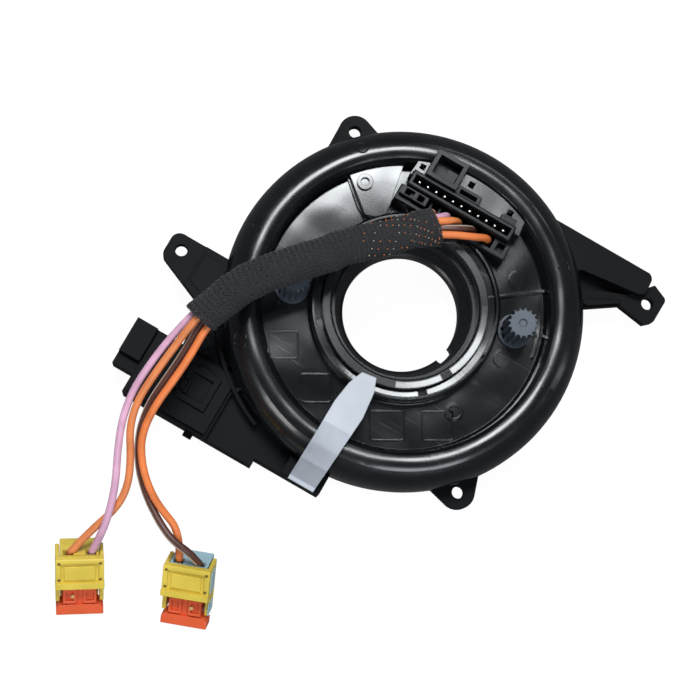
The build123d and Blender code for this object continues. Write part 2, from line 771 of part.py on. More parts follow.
sleeve_route = [
    (-2.9, 21.3, 20.8), (-8.2, 17.3, 22.1), (-13.3, 10.8, 24.8), (-20.1, 4.0, 27.6),
    (-26.8, -4.1, 29.0), (-35.4, -13.7, 28.6), (-41.0, -22.2, 26.6), (-44.0, -31.2, 24.0),
]
wire_routes = {
    "wire_pink": [
        (-2.0, 26.8, 10.5), (-2.0, 26.8, 16.4), (-4.5, 23.3, 20.4), (-9.8, 18.8, 21.5),
        (-14.9, 12.3, 24.2), (-21.7, 5.5, 27.0), (-28.5, -2.7, 28.4), (-37.1, -12.3, 28.0),
        (-43.0, -21.2, 26.0), (-46.1, -30.5, 23.4), (-48.3, -38.8, 20.6), (-49.6, -47.5, 18.6),
        (-50.0, -55.7, 17.0), (-48.6, -63.3, 16.2), (-45.3, -71.0, 16.4), (-41.5, -78.4, 16.4),
        (-39.1, -86.2, 15.2), (-38.4, -91.8, 12.7), (-38.5, -96.4, 8.5),
    ],
    "wire_orange_traced": [
        (1.5, 26.8, 10.5), (1.5, 26.8, 16.6), (-2.9, 23.3, 21.9), (-8.7, 17.8, 23.3),
        (-13.9, 11.3, 26.0), (-20.7, 4.5, 28.8), (-27.4, -3.6, 30.2), (-36.0, -13.2, 29.8),
        (-41.7, -21.9, 27.8), (-44.7, -31.0, 25.2), (-46.1, -39.8, 21.9), (-47.1, -48.2, 19.5),
        (-47.7, -56.4, 17.9), (-46.1, -63.6, 16.6), (-42.0, -70.0, 15.2), (-38.9, -76.4, 14.0),
        (-38.4, -83.0, 12.9), (-41.6, -92.2, 12.1), (-43.4, -99.4, 8.9),
    ],
    "wire_brown_striped": [
        (5.9, 26.8, 10.5), (5.9, 26.8, 16.4), (2.5, 24.2, 20.6), (-3.1, 20.8, 20.2),
        (-7.7, 16.8, 20.9), (-12.7, 10.3, 23.6), (-19.5, 3.5, 26.4), (-26.2, -4.6, 27.8),
        (-34.8, -14.2, 27.4), (-40.3, -22.5, 25.4), (-43.3, -31.4, 22.8), (-43.5, -39.9, 19.4),
        (-44.1, -47.6, 17.4), (-44.9, -55.9, 15.6), (-43.4, -63.8, 14.3), (-39.6, -70.6, 13.4),
        (-34.4, -76.0, 12.9), (-28.2, -80.3, 13.2), (-21.9, -83.4, 14.2), (-15.9, -83.8, 13.4),
        (-12.4, -85.1, 8.8),
    ],
    "wire_orange": [
        (10.4, 26.8, 10.5), (10.4, 26.8, 16.2), (7.0, 24.2, 20.6), (0.4, 20.9, 21.9),
        (-6.7, 15.9, 22.8), (-11.7, 9.3, 25.4), (-18.5, 2.5, 28.2), (-25.1, -5.5, 29.6),
        (-33.7, -15.1, 29.2), (-39.0, -23.2, 27.2), (-41.6, -32.3, 24.2), (-41.5, -41.0, 21.2),
        (-42.3, -49.2, 19.3), (-43.1, -56.8, 17.9), (-42.2, -64.4, 16.7), (-38.6, -70.2, 16.0),
        (-34.0, -74.6, 15.4), (-29.0, -77.6, 14.7), (-21.0, -80.4, 12.6), (-17.7, -87.1, 7.9),
    ],
}

for wire_name, route in wire_routes.items():
    with BuildPart() as wire:
        with BuildLine() as wire_path:
            FilletPolyline(*route, radius=corner_radii(route))
        with BuildSketch(Plane(origin=wire_path.wire() @ 0, z_dir=wire_path.wire() % 0)):
            Circle(wire_d / 2)
        sweep()
    cord_check(wire_name, route, math.pi * wire_d**2 / 4, wire.part.volume)
    save(wire.part, wire_name)

with BuildPart() as harness_sleeve:
    with BuildLine() as sleeve_path:
        FilletPolyline(*sleeve_route, radius=corner_radii(sleeve_route))
    with BuildSketch(Plane(origin=sleeve_path.wire() @ 0, z_dir=sleeve_path.wire() % 0)):
        Circle(sleeve_d / 2)
        Circle(sleeve_d / 2 - sleeve_wall, mode=Mode.SUBTRACT)
    sweep()

sleeve_section = math.pi * (sleeve_d**2 - (sleeve_d - 2 * sleeve_wall) ** 2) / 4
cord_check("harness_sleeve", sleeve_route, sleeve_section, harness_sleeve.part.volume)
save(harness_sleeve.part, "harness_sleeve")

# Airbag plugs: in each plug's own plane, X runs across, +Y to the wires and Z out of the broad face
plug_planes = {
    "plug_left": Plane(origin=(-39.9, -99.2, 12.3), x_dir=(0.849, 0.523, -0.072), z_dir=(0.342, -0.441, 0.830)),
    "plug_right": Plane(origin=(-15.1, -87.6, 12.0), x_dir=(0.929, 0.337, 0.152), z_dir=(0.044, -0.509, 0.859)),
}
wire_hole_x = 2.9
wire_hole_side = 2.7
wire_hole_z = -3.8
core_wide = plug_wide - 2 * plug_wall - 2 * socket_gap
core_top = -front_thick - socket_gap
lock_top = core_top - 0.3
channel_low = lock_top - lock_thick - socket_gap

for plug_name, plug_plane in plug_planes.items():
    # Cover: front plate with its framed recess, and the two side walls
    with BuildPart() as cover:
        with BuildSketch(plug_plane):
            with Locations((0, -cover_long / 2)):
                Rectangle(plug_wide, cover_long)
        extrude(amount=-cover_deep)
        with BuildSketch(plug_plane.offset(-front_thick)):
            with Locations((0, -cover_long / 2)):
                Rectangle(plug_wide - 2 * plug_wall, cover_long)
        extrude(amount=-cover_deep, mode=Mode.SUBTRACT)
        with BuildSketch(plug_plane):
            with Locations((0, -(lip_long + cover_long) / 2 - 0.5)):
                Rectangle(plug_wide, cover_long - lip_long + 1.0)
        extrude(amount=-front_thick - 0.6, mode=Mode.SUBTRACT)
        with BuildSketch(plug_plane):
            with Locations((0, -lip_long / 2 - 0.1)):
                Rectangle(plug_wide - 2.6, lip_long - 2.8)
        extrude(amount=-0.7, mode=Mode.SUBTRACT)
    save(cover.part, f"{plug_name}_cover")

    # Core: holds the terminals, with the channel that the lock slides in
    with BuildPart() as core:
        with BuildSketch(plug_plane.offset(core_top)):
            with Locations((0, -core_long / 2)):
                Rectangle(core_wide, core_long)
        extrude(amount=-(plug_deep + core_top))
        with BuildSketch(plug_plane.offset(core_top)):
            with Locations((0, -(core_long + lip_long) / 2 - 0.6)):
                Rectangle(core_wide, core_long - lip_long)
        extrude(amount=channel_low - core_top, mode=Mode.SUBTRACT)
        with BuildSketch(plug_plane.offset(wire_hole_z + wire_hole_side / 2)):
            with Locations((-wire_hole_x, -4.2), (wire_hole_x, -4.2)):
                Rectangle(wire_hole_side, 8.4)
        extrude(amount=-wire_hole_side, mode=Mode.SUBTRACT)
    save(core.part, f"{plug_name}_core")

    # Terminals: crimped boxes behind the wires
    with BuildPart() as terminals:
        with BuildSketch(plug_plane.offset(wire_hole_z + 0.8)):
            with Locations((-wire_hole_x, -5.4), (wire_hole_x, -5.4)):
                Rectangle(1.6, 5.6)
        extrude(amount=-1.6)
    save(terminals.part, f"{plug_name}_terminals")

    # Lock: orange slide with a wide head
    with BuildPart() as lock:
        with BuildSketch(plug_plane.offset(lock_top)):
            with Locations((0, -(lip_long + core_long) / 2 - 0.8)):
                Rectangle(core_wide - 1.2, core_long - lip_long - 0.2)
        extrude(amount=-lock_thick)
        with BuildSketch(plug_plane.offset(lock_top + 0.4)):
            with Locations((0, -core_long + 0.6)):
                Rectangle(plug_wide - 0.2, 1.8)
        extrude(amount=-lock_thick - 0.3)
    save(lock.part, f"{plug_name}_lock")
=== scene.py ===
import bmesh
import bpy
import math
from mathutils import Matrix, Vector
from mathutils.geometry import tessellate_polygon


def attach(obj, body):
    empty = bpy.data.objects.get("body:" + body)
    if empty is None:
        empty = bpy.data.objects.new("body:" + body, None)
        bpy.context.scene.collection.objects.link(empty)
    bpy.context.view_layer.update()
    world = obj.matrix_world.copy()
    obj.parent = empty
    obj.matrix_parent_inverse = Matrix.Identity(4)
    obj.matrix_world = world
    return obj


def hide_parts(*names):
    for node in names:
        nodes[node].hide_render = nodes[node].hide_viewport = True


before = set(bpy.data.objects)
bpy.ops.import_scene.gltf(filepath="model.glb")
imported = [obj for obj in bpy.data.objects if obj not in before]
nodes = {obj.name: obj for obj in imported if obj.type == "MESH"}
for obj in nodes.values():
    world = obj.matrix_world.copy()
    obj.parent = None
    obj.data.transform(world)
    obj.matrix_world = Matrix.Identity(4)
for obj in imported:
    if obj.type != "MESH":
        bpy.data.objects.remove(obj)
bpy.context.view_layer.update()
scene = bpy.context.scene
scene.view_settings.view_transform = "Standard"

# View of the part from above, as it lies on a table with the harness towards the lower left.
# The lens is long, so the disc is nearly a true circle.
camera = bpy.data.objects.new("camera", bpy.data.cameras.new("camera"))
scene.collection.objects.link(camera)
scene.camera = camera
camera.data.sensor_width = 36
camera.data.lens = 102.343
camera.matrix_world = Matrix((
    (0.8660, -0.5000, 0.0004, -0.00689),
    (0.4935, 0.8548, -0.1608, -0.10098),
    (0.0807, 0.1390, 0.9870, 0.52751),
    (0, 0, 0, 1),
))

# Table top: a plain white sheet under the part, 7 mm below the ears' seats.
# It is lit as paper is and shows white to the lens; in the part's glossy reflections it is painted dark, a
# painted shade on what the part mirrors.
table_mesh = bpy.data.meshes.new("table_top")
table_half, table_z = 2, -0.0072
table_mesh.from_pydata(
    [(x * table_half, y * table_half, table_z) for x, y in ((-1, -1), (1, -1), (1, 1), (-1, 1))],
    [], [(0, 1, 2, 3)],
)
table_top = bpy.data.objects.new("table_top", table_mesh)
scene.collection.objects.link(table_top)

paper = bpy.data.materials.new("white_sheet")
paper.use_nodes = True
tree = paper.node_tree
tree.nodes.clear()
rays = tree.nodes.new("ShaderNodeLightPath")
seen = tree.nodes.new("ShaderNodeMath")
seen.operation = "MAXIMUM"
seen_through = tree.nodes.new("ShaderNodeMath")
seen_through.operation = "MAXIMUM"
tree.links.new(rays.outputs["Is Camera Ray"], seen.inputs[0])
# Painted reflection: for glossy rays the sheet glows only faintly and its colour turns dark grey, so the
# part mirrors a dark table.
dimmed = tree.nodes.new("ShaderNodeMath")
dimmed.operation = "MULTIPLY"
dimmed.inputs[1].default_value = 0.06
tree.links.new(rays.outputs["Is Glossy Ray"], dimmed.inputs[0])
tree.links.new(dimmed.outputs[0], seen.inputs[1])
tree.links.new(seen.outputs[0], seen_through.inputs[0])
tree.links.new(rays.outputs["Is Transmission Ray"], seen_through.inputs[1])
share = tree.nodes.new("ShaderNodeMath")
share.operation = "MULTIPLY"
share.inputs[1].default_value = 0.90
tree.links.new(seen_through.outputs[0], share.inputs[0])
matt = tree.nodes.new("ShaderNodeBsdfDiffuse")
sheet_tone_and_painted_dark_reflection = tree.nodes.new("ShaderNodeMix")
sheet_tone_and_painted_dark_reflection.data_type = "RGBA"
sheet_tone_and_painted_dark_reflection.inputs["A"].default_value = (0.9, 0.9, 0.91, 1)
sheet_tone_and_painted_dark_reflection.inputs["B"].default_value = (0.05, 0.05, 0.055, 1)
tree.links.new(rays.outputs["Is Glossy Ray"], sheet_tone_and_painted_dark_reflection.inputs["Factor"])
tree.links.new(sheet_tone_and_painted_dark_reflection.outputs["Result"], matt.inputs["Color"])
glow = tree.nodes.new("ShaderNodeEmission")
glow.inputs["Color"].default_value = (1, 1, 1, 1)
glow.inputs["Strength"].default_value = 1.06
blend = tree.nodes.new("ShaderNodeMixShader")
tree.links.new(share.outputs[0], blend.inputs[0])
tree.links.new(matt.outputs[0], blend.inputs[1])
tree.links.new(glow.outputs[0], blend.inputs[2])
out = tree.nodes.new("ShaderNodeOutputMaterial")
tree.links.new(blend.outputs[0], out.inputs["Surface"])
table_mesh.materials.append(paper)

# Room: white to the lens, as a catalogue picture's backdrop is.
# The part itself is lit by, and mirrors, a dim and slightly cool room.
world = bpy.data.worlds.new("studio")
scene.world = world
world.use_nodes = True
tree = world.node_tree
tree.nodes.clear()
rays = tree.nodes.new("ShaderNodeLightPath")
white = tree.nodes.new("ShaderNodeBackground")
white.inputs["Color"].default_value = (1, 1, 1, 1)
white.inputs["Strength"].default_value = 1.0
room = tree.nodes.new("ShaderNodeBackground")
room.inputs["Color"].default_value = (0.82, 0.91, 1.0, 1)
room.inputs["Strength"].default_value = 0.11
blend = tree.nodes.new("ShaderNodeMixShader")
tree.links.new(rays.outputs["Is Camera Ray"], blend.inputs[0])
tree.links.new(room.outputs[0], blend.inputs[1])
tree.links.new(white.outputs[0], blend.inputs[2])
out = tree.nodes.new("ShaderNodeOutputWorld")
tree.links.new(blend.outputs[0], out.inputs["Surface"])


# Softboxes: a large one high on the left, a strip along the far side, and three fills lower down.
# Each faces the part from about a metre away.
def softbox(name, place, wide, high, power, colour=(1, 1, 1)):
    lamp = bpy.data.lights.new(name, "AREA")
    lamp.shape = "RECTANGLE"
    lamp.size = wide
    lamp.size_y = high
    lamp.energy = power
    lamp.color = colour
    box = bpy.data.objects.new(name, lamp)
    scene.collection.objects.link(box)
    away = Vector(place).normalized()
    box.rotation_euler = away.to_track_quat("Z", "Y").to_euler()
    box.location = place
    return box


softbox("key_left", (-0.218, 0.322, 0.865), 0.40, 0.33, 8.6, (0.93, 0.97, 1.0))
softbox("strip_far", (0.10, 1.00, 0.55), 0.80, 0.10, 1.0, (0.92, 0.97, 1.0))
softbox("fill_right", (0.85, 0.25, 0.40), 0.12, 0.50, 0.5, (0.95, 0.98, 1.0))
softbox("fill_near", (-0.35, -0.85, 0.55), 0.30, 0.20, 1.6)
softbox("fill_low_right", (0.46, -0.46, 0.70), 0.46, 0.34, 3.4, (0.88, 0.94, 1.0))

# Stator: the fixed housing in glass-filled black plastic, with four ears that screw to the column switch.
# Its skin is semi-gloss with a fine moulded grain and slow waves where the walls shrank.
skin = bpy.data.node_groups.new("moulded_skin", "ShaderNodeTree")
for name, kind, value in (
    ("Vector", "NodeSocketVector", None),
    ("Colour", "NodeSocketColor", (0.02, 0.02, 0.02, 1)),
    ("Roughness", "NodeSocketFloat", 0.3),
    ("Cloud Scale", "NodeSocketFloat", 60.0),
    ("Grain Scale", "NodeSocketFloat", 2500.0),
    ("Grain", "NodeSocketFloat", 0.004),
    ("Wave", "NodeSocketFloat", 0.03),
    ("Scuffs", "NodeSocketFloat", 0.1),
):
    socket = skin.interface.new_socket(name, in_out="INPUT", socket_type=kind)
    if value is not None:
        socket.default_value = value
skin.interface.new_socket("Colour", in_out="OUTPUT", socket_type="NodeSocketColor")
skin.interface.new_socket("Roughness", in_out="OUTPUT", socket_type="NodeSocketFloat")
skin.interface.new_socket("Height", in_out="OUTPUT", socket_type="NodeSocketFloat")


def noise(tree, vector, scale, detail, rough=0.5):
    node = tree.nodes.new("ShaderNodeTexNoise")
    node.inputs["Detail"].default_value = detail
    node.inputs["Roughness"].default_value = rough
    if isinstance(scale, (int, float)):
        node.inputs["Scale"].default_value = scale
    else:
        tree.links.new(scale, node.inputs["Scale"])
    tree.links.new(vector, node.inputs["Vector"])
    return node.outputs["Fac"]


def math_node(tree, operation, *values):
    node = tree.nodes.new("ShaderNodeMath")
    node.operation = operation
    for slot_in, value in zip(node.inputs, values):
        if isinstance(value, (int, float)):
            slot_in.default_value = value
        else:
            tree.links.new(value, slot_in)
    return node.outputs[0]


def spread(tree, value, low, high, to_low, to_high):
    node = tree.nodes.new("ShaderNodeMapRange")
    for key, number in (("From Min", low), ("From Max", high), ("To Min", to_low), ("To Max", to_high)):
        if isinstance(number, (int, float)):
            node.inputs[key].default_value = number
        else:
            tree.links.new(number, node.inputs[key])
    tree.links.new(value, node.inputs["Value"])
    return node.outputs["Result"]


group_in = skin.nodes.new("NodeGroupInput")
group_out = skin.nodes.new("NodeGroupOutput")
given = group_in.outputs
cloud = noise(skin, given["Vector"], given["Cloud Scale"], 3.0)
grain = noise(skin, given["Vector"], given["Grain Scale"], 1.0)
slow = noise(skin, given["Vector"], 55.0, 1.0)
stretch = skin.nodes.new("ShaderNodeMapping")
stretch.inputs["Rotation"].default_value = (0.3, 0.2, 0.7)
stretch.inputs["Scale"].default_value = (60, 1500, 900)
skin.links.new(given["Vector"], stretch.inputs["Vector"])
streak = spread(skin, noise(skin, stretch.outputs[0], 1.0, 2.0), 0.62, 0.72, 0.0, 1.0)
scuff = math_node(skin, "MULTIPLY", streak, given["Scuffs"])
scuff_spots = math_node(skin, "MULTIPLY", scuff, spread(skin, cloud, 0.45, 0.6, 0.0, 1.0))
tint = skin.nodes.new("ShaderNodeMix")
tint.data_type = "RGBA"
tint.blend_type = "MULTIPLY"
tint.inputs["Factor"].default_value = 1.0
shade = skin.nodes.new("ShaderNodeCombineColor")
level = spread(skin, cloud, 0.3, 0.7, 0.82, 1.18)
for key in ("Red", "Green", "Blue"):
    skin.links.new(level, shade.inputs[key])
skin.links.new(given["Colour"], tint.inputs["A"])
skin.links.new(shade.outputs[0], tint.inputs["B"])
skin.links.new(tint.outputs["Result"], group_out.inputs["Colour"])
rough_cloud = math_node(skin, "ADD", given["Roughness"], spread(skin, cloud, 0.3, 0.7, -0.05, 0.07))
skin.links.new(math_node(skin, "ADD", rough_cloud, scuff_spots), group_out.inputs["Roughness"])
fine_height = math_node(skin, "MULTIPLY", grain, given["Grain"])
slow_height = math_node(skin, "MULTIPLY", slow, given["Wave"])
skin.links.new(math_node(skin, "ADD", fine_height, slow_height), group_out.inputs["Height"])


def moulded(name, colour, rough, ior=1.5, coat=0.0, coat_rough=0.1, corner=0.00025, shine=0.5, **values):
    """A moulded plastic: the skin group with this part's own values, over softly rounded corners."""
    mat = bpy.data.materials.new(name)
    mat.use_nodes = True
    tree = mat.node_tree
    shader = tree.nodes["Principled BSDF"]
    shader.inputs["IOR"].default_value = ior
    shader.inputs["Specular IOR Level"].default_value = shine
    if coat:
        shader.inputs["Coat Weight"].default_value = coat
        shader.inputs["Coat Roughness"].default_value = coat_rough
    place = tree.nodes.new("ShaderNodeTexCoord")
    cover = tree.nodes.new("ShaderNodeGroup")
    cover.node_tree = skin
    cover.inputs["Colour"].default_value = (*colour, 1)
    cover.inputs["Roughness"].default_value = rough
    for key, value in values.items():
        cover.inputs[key.replace("_", " ").title()].default_value = value
    tree.links.new(place.outputs["Object"], cover.inputs["Vector"])
    tree.links.new(cover.outputs["Colour"], shader.inputs["Base Color"])
    tree.links.new(cover.outputs["Roughness"], shader.inputs["Roughness"])
    rounded = tree.nodes.new("ShaderNodeBevel")
    rounded.samples = 4
    rounded.inputs["Radius"].default_value = corner
    bump = tree.nodes.new("ShaderNodeBump")
    bump.inputs["Strength"].default_value = 1.0
    bump.inputs["Distance"].default_value = 0.001
    tree.links.new(cover.outputs["Height"], bump.inputs["Height"])
    tree.links.new(rounded.outputs[0], bump.inputs["Normal"])
    tree.links.new(bump.outputs[0], shader.inputs["Normal"])
    return mat


def finish_nodes(mat, *names):
    for name in names:
        for holder in nodes[name].material_slots:
            holder.material = mat


case_black = moulded(
    "case_black", (0.0055, 0.006, 0.007), 0.50, shine=0.07, grain=0.006, wave=0.06, scuffs=0.10,
)
finish_nodes(case_black, "stator_case", "rear_plate", "side_connector", "block_cover")


def slab(name, loops, low, high, mat, body, place=None, round_edge=0.00015):
    """A flat form between two levels: its outer edge first, then the edges of its holes."""
    points = [point for loop in loops for point in loop]
    count = len(points)
    faces = []
    for a, b, c in tessellate_polygon([[Vector((x, y, 0)) for x, y in loop] for loop in loops]):
        faces += [(a, c, b), (a + count, b + count, c + count)]
    first = 0
    for loop in loops:
        for k in range(len(loop)):
            a, b = first + k, first + (k + 1) % len(loop)
            faces.append((a, b, b + count, a + count))
        first += len(loop)
    mesh = bpy.data.meshes.new(name)
    mesh.from_pydata([(x, y, z) for z in (low, high) for x, y in points], [], faces)
    form = bmesh.new()
    form.from_mesh(mesh)
    bmesh.ops.remove_doubles(form, verts=form.verts, dist=1e-7)
    bmesh.ops.recalc_face_normals(form, faces=form.faces)
    form.to_mesh(mesh)
    form.free()
    if place is not None:
        mesh.transform(place)
    mesh.materials.append(mat)
    piece = bpy.data.objects.new(name, mesh)
    scene.collection.objects.link(piece)
    if round_edge:
        edge = piece.modifiers.new("edge", "BEVEL")
        edge.width = round_edge
        edge.segments = 2
        edge.limit_method = "ANGLE"
    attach(piece, body)
    return piece


def arc(radius, start, end, steps=24):
    turns = [math.radians(start + (end - start) * k / steps) for k in range(steps + 1)]
    return [(radius * math.cos(turn), radius * math.sin(turn)) for turn in turns]


def ring(x, y, radius, steps=24):
    return [(x + dx, y + dy) for dx, dy in arc(radius, 0, 360 - 360 / steps, steps - 1)]


def plate(x, y, long, wide, turn=0.0, corner=0.0):
    """A rectangle's edge about its middle, turned, with its corners rounded off."""
    outline = []
    for sx, sy, start in ((1, 1, 0), (-1, 1, 90), (-1, -1, 180), (1, -1, 270)):
        mid = (sx * (long / 2 - corner), sy * (wide / 2 - corner))
        bend = arc(corner, start, start + 90, 4) if corner else [(0.0, 0.0)]
        outline += [(mid[0] + dx, mid[1] + dy) for dx, dy in bend]
    cos, sin = math.cos(math.radians(turn)), math.sin(math.radians(turn))
    return [(x + u * cos - v * sin, y + u * sin + v * cos) for u, v in outline]


# Stator's raised forms: the step on the left ear, the gusset beside it with its boss, the rim's lip,
# the web and rail between the right bar and the arm, and the frame and ribs on the block cover.
for name, loops, low, high in (
    ("ear_step", [[(-0.0400, -0.0110), (-0.0538, -0.0110), (-0.0538, -0.0229), (-0.0505, -0.0243),
                   (-0.0400, -0.0300)]], 0.0034, 0.0044),
    ("ear_gusset", [[(-0.0498, -0.0238), (-0.0466, -0.0300), (-0.0460, -0.0375), (-0.0280, -0.0375),
                     (-0.0360, -0.0240)]], 0.0, 0.0035),
    ("gusset_boss", [ring(-0.0414, -0.0336, 0.0031), ring(-0.0414, -0.0336, 0.0024)], 0.0034, 0.0041),
    ("gusset_boss_middle", [ring(-0.0414, -0.0336, 0.0015), ring(-0.0414, -0.0336, 0.0009)], 0.0034, 0.0041),
    ("rim_lip", [arc(0.0490, -160, -112) + arc(0.0501, -112, -160)], 0.0, 0.0062),
    ("arm_web", [[(0.0380, 0.0270), (0.0416, 0.0280), (0.0514, 0.0354), (0.0534, 0.0380), (0.0440, 0.0390),
                  (0.0360, 0.0360)]], 0.0, 0.0016),
    ("bar_rail", [[(0.0410, 0.0272), (0.0425, 0.0270), (0.0500, 0.0321), (0.0496, 0.0329),
                   (0.0408, 0.0281)]], 0.0034, 0.0048),
    ("arm_wall", [[(0.0380, 0.0346), (0.0530, 0.0365), (0.0528, 0.0381), (0.0380, 0.0362)]], 0.0, 0.0063),
    ("top_ear_wing", [[(-0.0394, 0.0240), (-0.0397, 0.0364), (-0.0330, 0.0330)]], 0.0002, 0.0034),
    ("clip_frame", [plate(-0.0404, -0.0462, 0.0036, 0.0038), plate(-0.0404, -0.0462, 0.0018, 0.0024)],
     0.0058, 0.0069),
    ("cover_rib", [plate(-0.0454, -0.0460, 0.0008, 0.0140)], 0.0058, 0.0066),
    ("cover_foot", [plate(-0.0490, -0.0526, 0.0050, 0.0022)], 0.0058, 0.0064),
):
    slab(name, loops, low, high, case_black, "stator")

# Stator's blades and lead block: tinned brass blades in the side plug, welded to the cable's outer end.
# The lead block is a matt black insert.
tin = moulded("contact_tin", (0.62, 0.61, 0.58), 0.28, scuffs=0.2, grain=0.002)
tin.node_tree.nodes["Principled BSDF"].inputs["Metallic"].default_value = 1.0
lead_black = moulded("lead_block", (0.03, 0.03, 0.033), 0.5)
finish_nodes(tin, "side_terminals", "header_pins", "plug_left_terminals", "plug_right_terminals")
finish_nodes(lead_black, "outer_lead_block", "inner_lead_block")

# Flat cable: flat copper conductors between two polyester films, wound like a clock spring round the hub.
# The liner is a slippery film between the turns and the floor.
film = moulded("cable_film", (0.60, 0.52, 0.36), 0.3, coat=0.3)
liner = moulded("liner_film", (0.74, 0.74, 0.72), 0.35)
finish_nodes(film, "flat_cable")
finish_nodes(liner, "cable_liner")

# Rotor disc: the turning cover in glossy black plastic, one moulding with rim, floor and hub.
# The rim is polished, so that it shows slow waves in what it reflects, and is duller on its high crest,
# where hands and packing rub it.
disc_black = moulded(
    "disc_black", (0.005, 0.0055, 0.0065), 0.15, ior=1.55, coat=0.5, coat_rough=0.05,
    grain=0.0015, wave=0.8, scuffs=0.12, corner=0.00035,
)
finish_nodes(disc_black, "rotor_disc")
tree = disc_black.node_tree
shader = tree.nodes["Principled BSDF"]
height = tree.nodes.new("ShaderNodeSeparateXYZ")
object_place = next(node for node in tree.nodes if node.type == "TEX_COORD")
tree.links.new(object_place.outputs["Object"], height.inputs[0])
crest_foot, crest_full = 0.0125, 0.0160
worn = spread(tree, height.outputs["Z"], crest_foot, crest_full, 0.0, 0.09)
polish = next(node for node in tree.nodes if node.type == "GROUP").outputs["Roughness"]
tree.links.new(math_node(tree, "ADD", polish, worn), shader.inputs["Roughness"])
gloss = spread(tree, height.outputs["Z"], crest_foot, crest_full, 0.5, 0.12)
tree.links.new(gloss, shader.inputs["Coat Weight"])

# Rotor's raised forms: the bridge behind the header with its square holes, the wedge with its ring boss,
# and the fence and plain frames on the floor. All are part of the disc's moulding.
for name, loops, low, high in (
    ("header_bridge", [
        [(-0.00365, 0.03890), (-0.00365, 0.03485), (0.00345, 0.03485), (0.00345, 0.03245),
         (0.01005, 0.03245), (0.01005, 0.03425), (0.01435, 0.03425), (0.01435, 0.03245),
         (0.01515, 0.03245), (0.01515, 0.03130), (0.01680, 0.03130)] + arc(0.0391, 65.4, 95.0),
        plate(-0.0008, 0.0370, 0.0016, 0.0016), plate(0.0118, 0.0355, 0.0016, 0.0016),
    ], 0.0100, 0.0158),
    ("header_bridge_end", [
        [(-0.01295, 0.03245), (-0.01595, 0.03245), (-0.01595, 0.03130), (-0.01660, 0.03130)][::-1]
        + arc(0.0391, 109.4, 114.6),
        plate(-0.0144, 0.0346, 0.0013, 0.0013),
    ], 0.0100, 0.0158),
    ("wedge", [
        [(-0.0169, 0.0222), (-0.01666, 0.01887)] + arc(0.0251, 131.4, 136.6, 4)
        + [(-0.0214, 0.0161), (-0.0304, 0.0237)] + arc(0.03845, 141.6, 119.9),
    ], 0.0109, 0.0132),
    ("wedge_boss", [ring(-0.0257, 0.0238, 0.0022), ring(-0.0257, 0.0238, 0.0011)], 0.0131, 0.0141),
    ("fence", [arc(0.0361, 9, 37.5) + arc(0.0368, 37.5, 9)], 0.0099, 0.0114),
    ("boss_ring", [ring(0.0250, -0.0173, 0.0023), ring(0.0250, -0.0173, 0.0015)], 0.0103, 0.0109),
    ("frame_near", [plate(0.0114, -0.0292, 0.0096, 0.0082, 30, 0.0010),
                    plate(0.0114, -0.0292, 0.0086, 0.0072, 30, 0.0006)], 0.0099, 0.0104),
    ("frame_right", [plate(0.0230, -0.0226, 0.0086, 0.0082, 30, 0.0010),
                     plate(0.0230, -0.0226, 0.0076, 0.0072, 30, 0.0006)], 0.0099, 0.0104),
    ("frame_left", [plate(-0.0096, -0.0300, 0.0084, 0.0080, 30, 0.0010),
                    plate(-0.0096, -0.0300, 0.0074, 0.0070, 30, 0.0006)], 0.0099, 0.0104),
    ("frame_far", [plate(-0.0228, -0.0244, 0.0082, 0.0076, 30, 0.0010),
                   plate(-0.0228, -0.0244, 0.0072, 0.0066, 30, 0.0006)], 0.0099, 0.0104),
):
    slab(name, loops, low, high, disc_black, "rotor", round_edge=0.00012)


# Beds of the trough round the hub and of the lip inside it: shallow rings in the disc's moulding.
# Their tops lean in a little, so that they catch the light in bright arcs.
def dish(name, inner, outer, low, rise, start, end, mat, body, steps=28):
    """A stretch of a ring whose top leans in towards the axis."""
    sunk = low - 0.0003
    mesh = bpy.data.meshes.new(name)
    form = bmesh.new()
    profile = ((inner, sunk), (outer, sunk), (outer, low + rise), (inner, low))
    rows = []
    for k in range(steps + 1):
        turn = math.radians(start + (end - start) * k / steps)
        rows.append([form.verts.new((r * math.cos(turn), r * math.sin(turn), z)) for r, z in profile])
    for near, far in zip(rows, rows[1:]):
        for k in range(4):
            form.faces.new((near[k], near[(k + 1) % 4], far[(k + 1) % 4], far[k]))
    form.faces.new(rows[0])
    form.faces.new(rows[-1])
    bmesh.ops.recalc_face_normals(form, faces=form.faces)
    form.to_mesh(mesh)
    form.free()
    mesh.materials.append(mat)
    piece = bpy.data.objects.new(name, mesh)
    scene.collection.objects.link(piece)
    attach(piece, body)


for k, (start, end) in enumerate(((-46, 38), (44, 128), (134, 218), (-136, -52))):
    dish(
        f"trough_bed_{k + 1}", 0.02208, 0.02392, 0.0128, 0.00018, start, end,
        disc_black, "rotor",
    )
down = Vector((0, 0, -1))
above_lip = Vector((0.0212, 0, 0.05))
tops = [nodes[name].ray_cast(above_lip, down) for name in ("rotor_disc", "bore_sleeve")]
lip_top = max(seat.z for hit, seat, *rest in tops if hit)
for k, (start, end) in enumerate(((-26, 30), (-68, -34))):
    dish(
        f"lip_bed_{k + 1}", 0.0201, 0.0218, lip_top, 0.00026, start, end,
        disc_black, "rotor",
    )

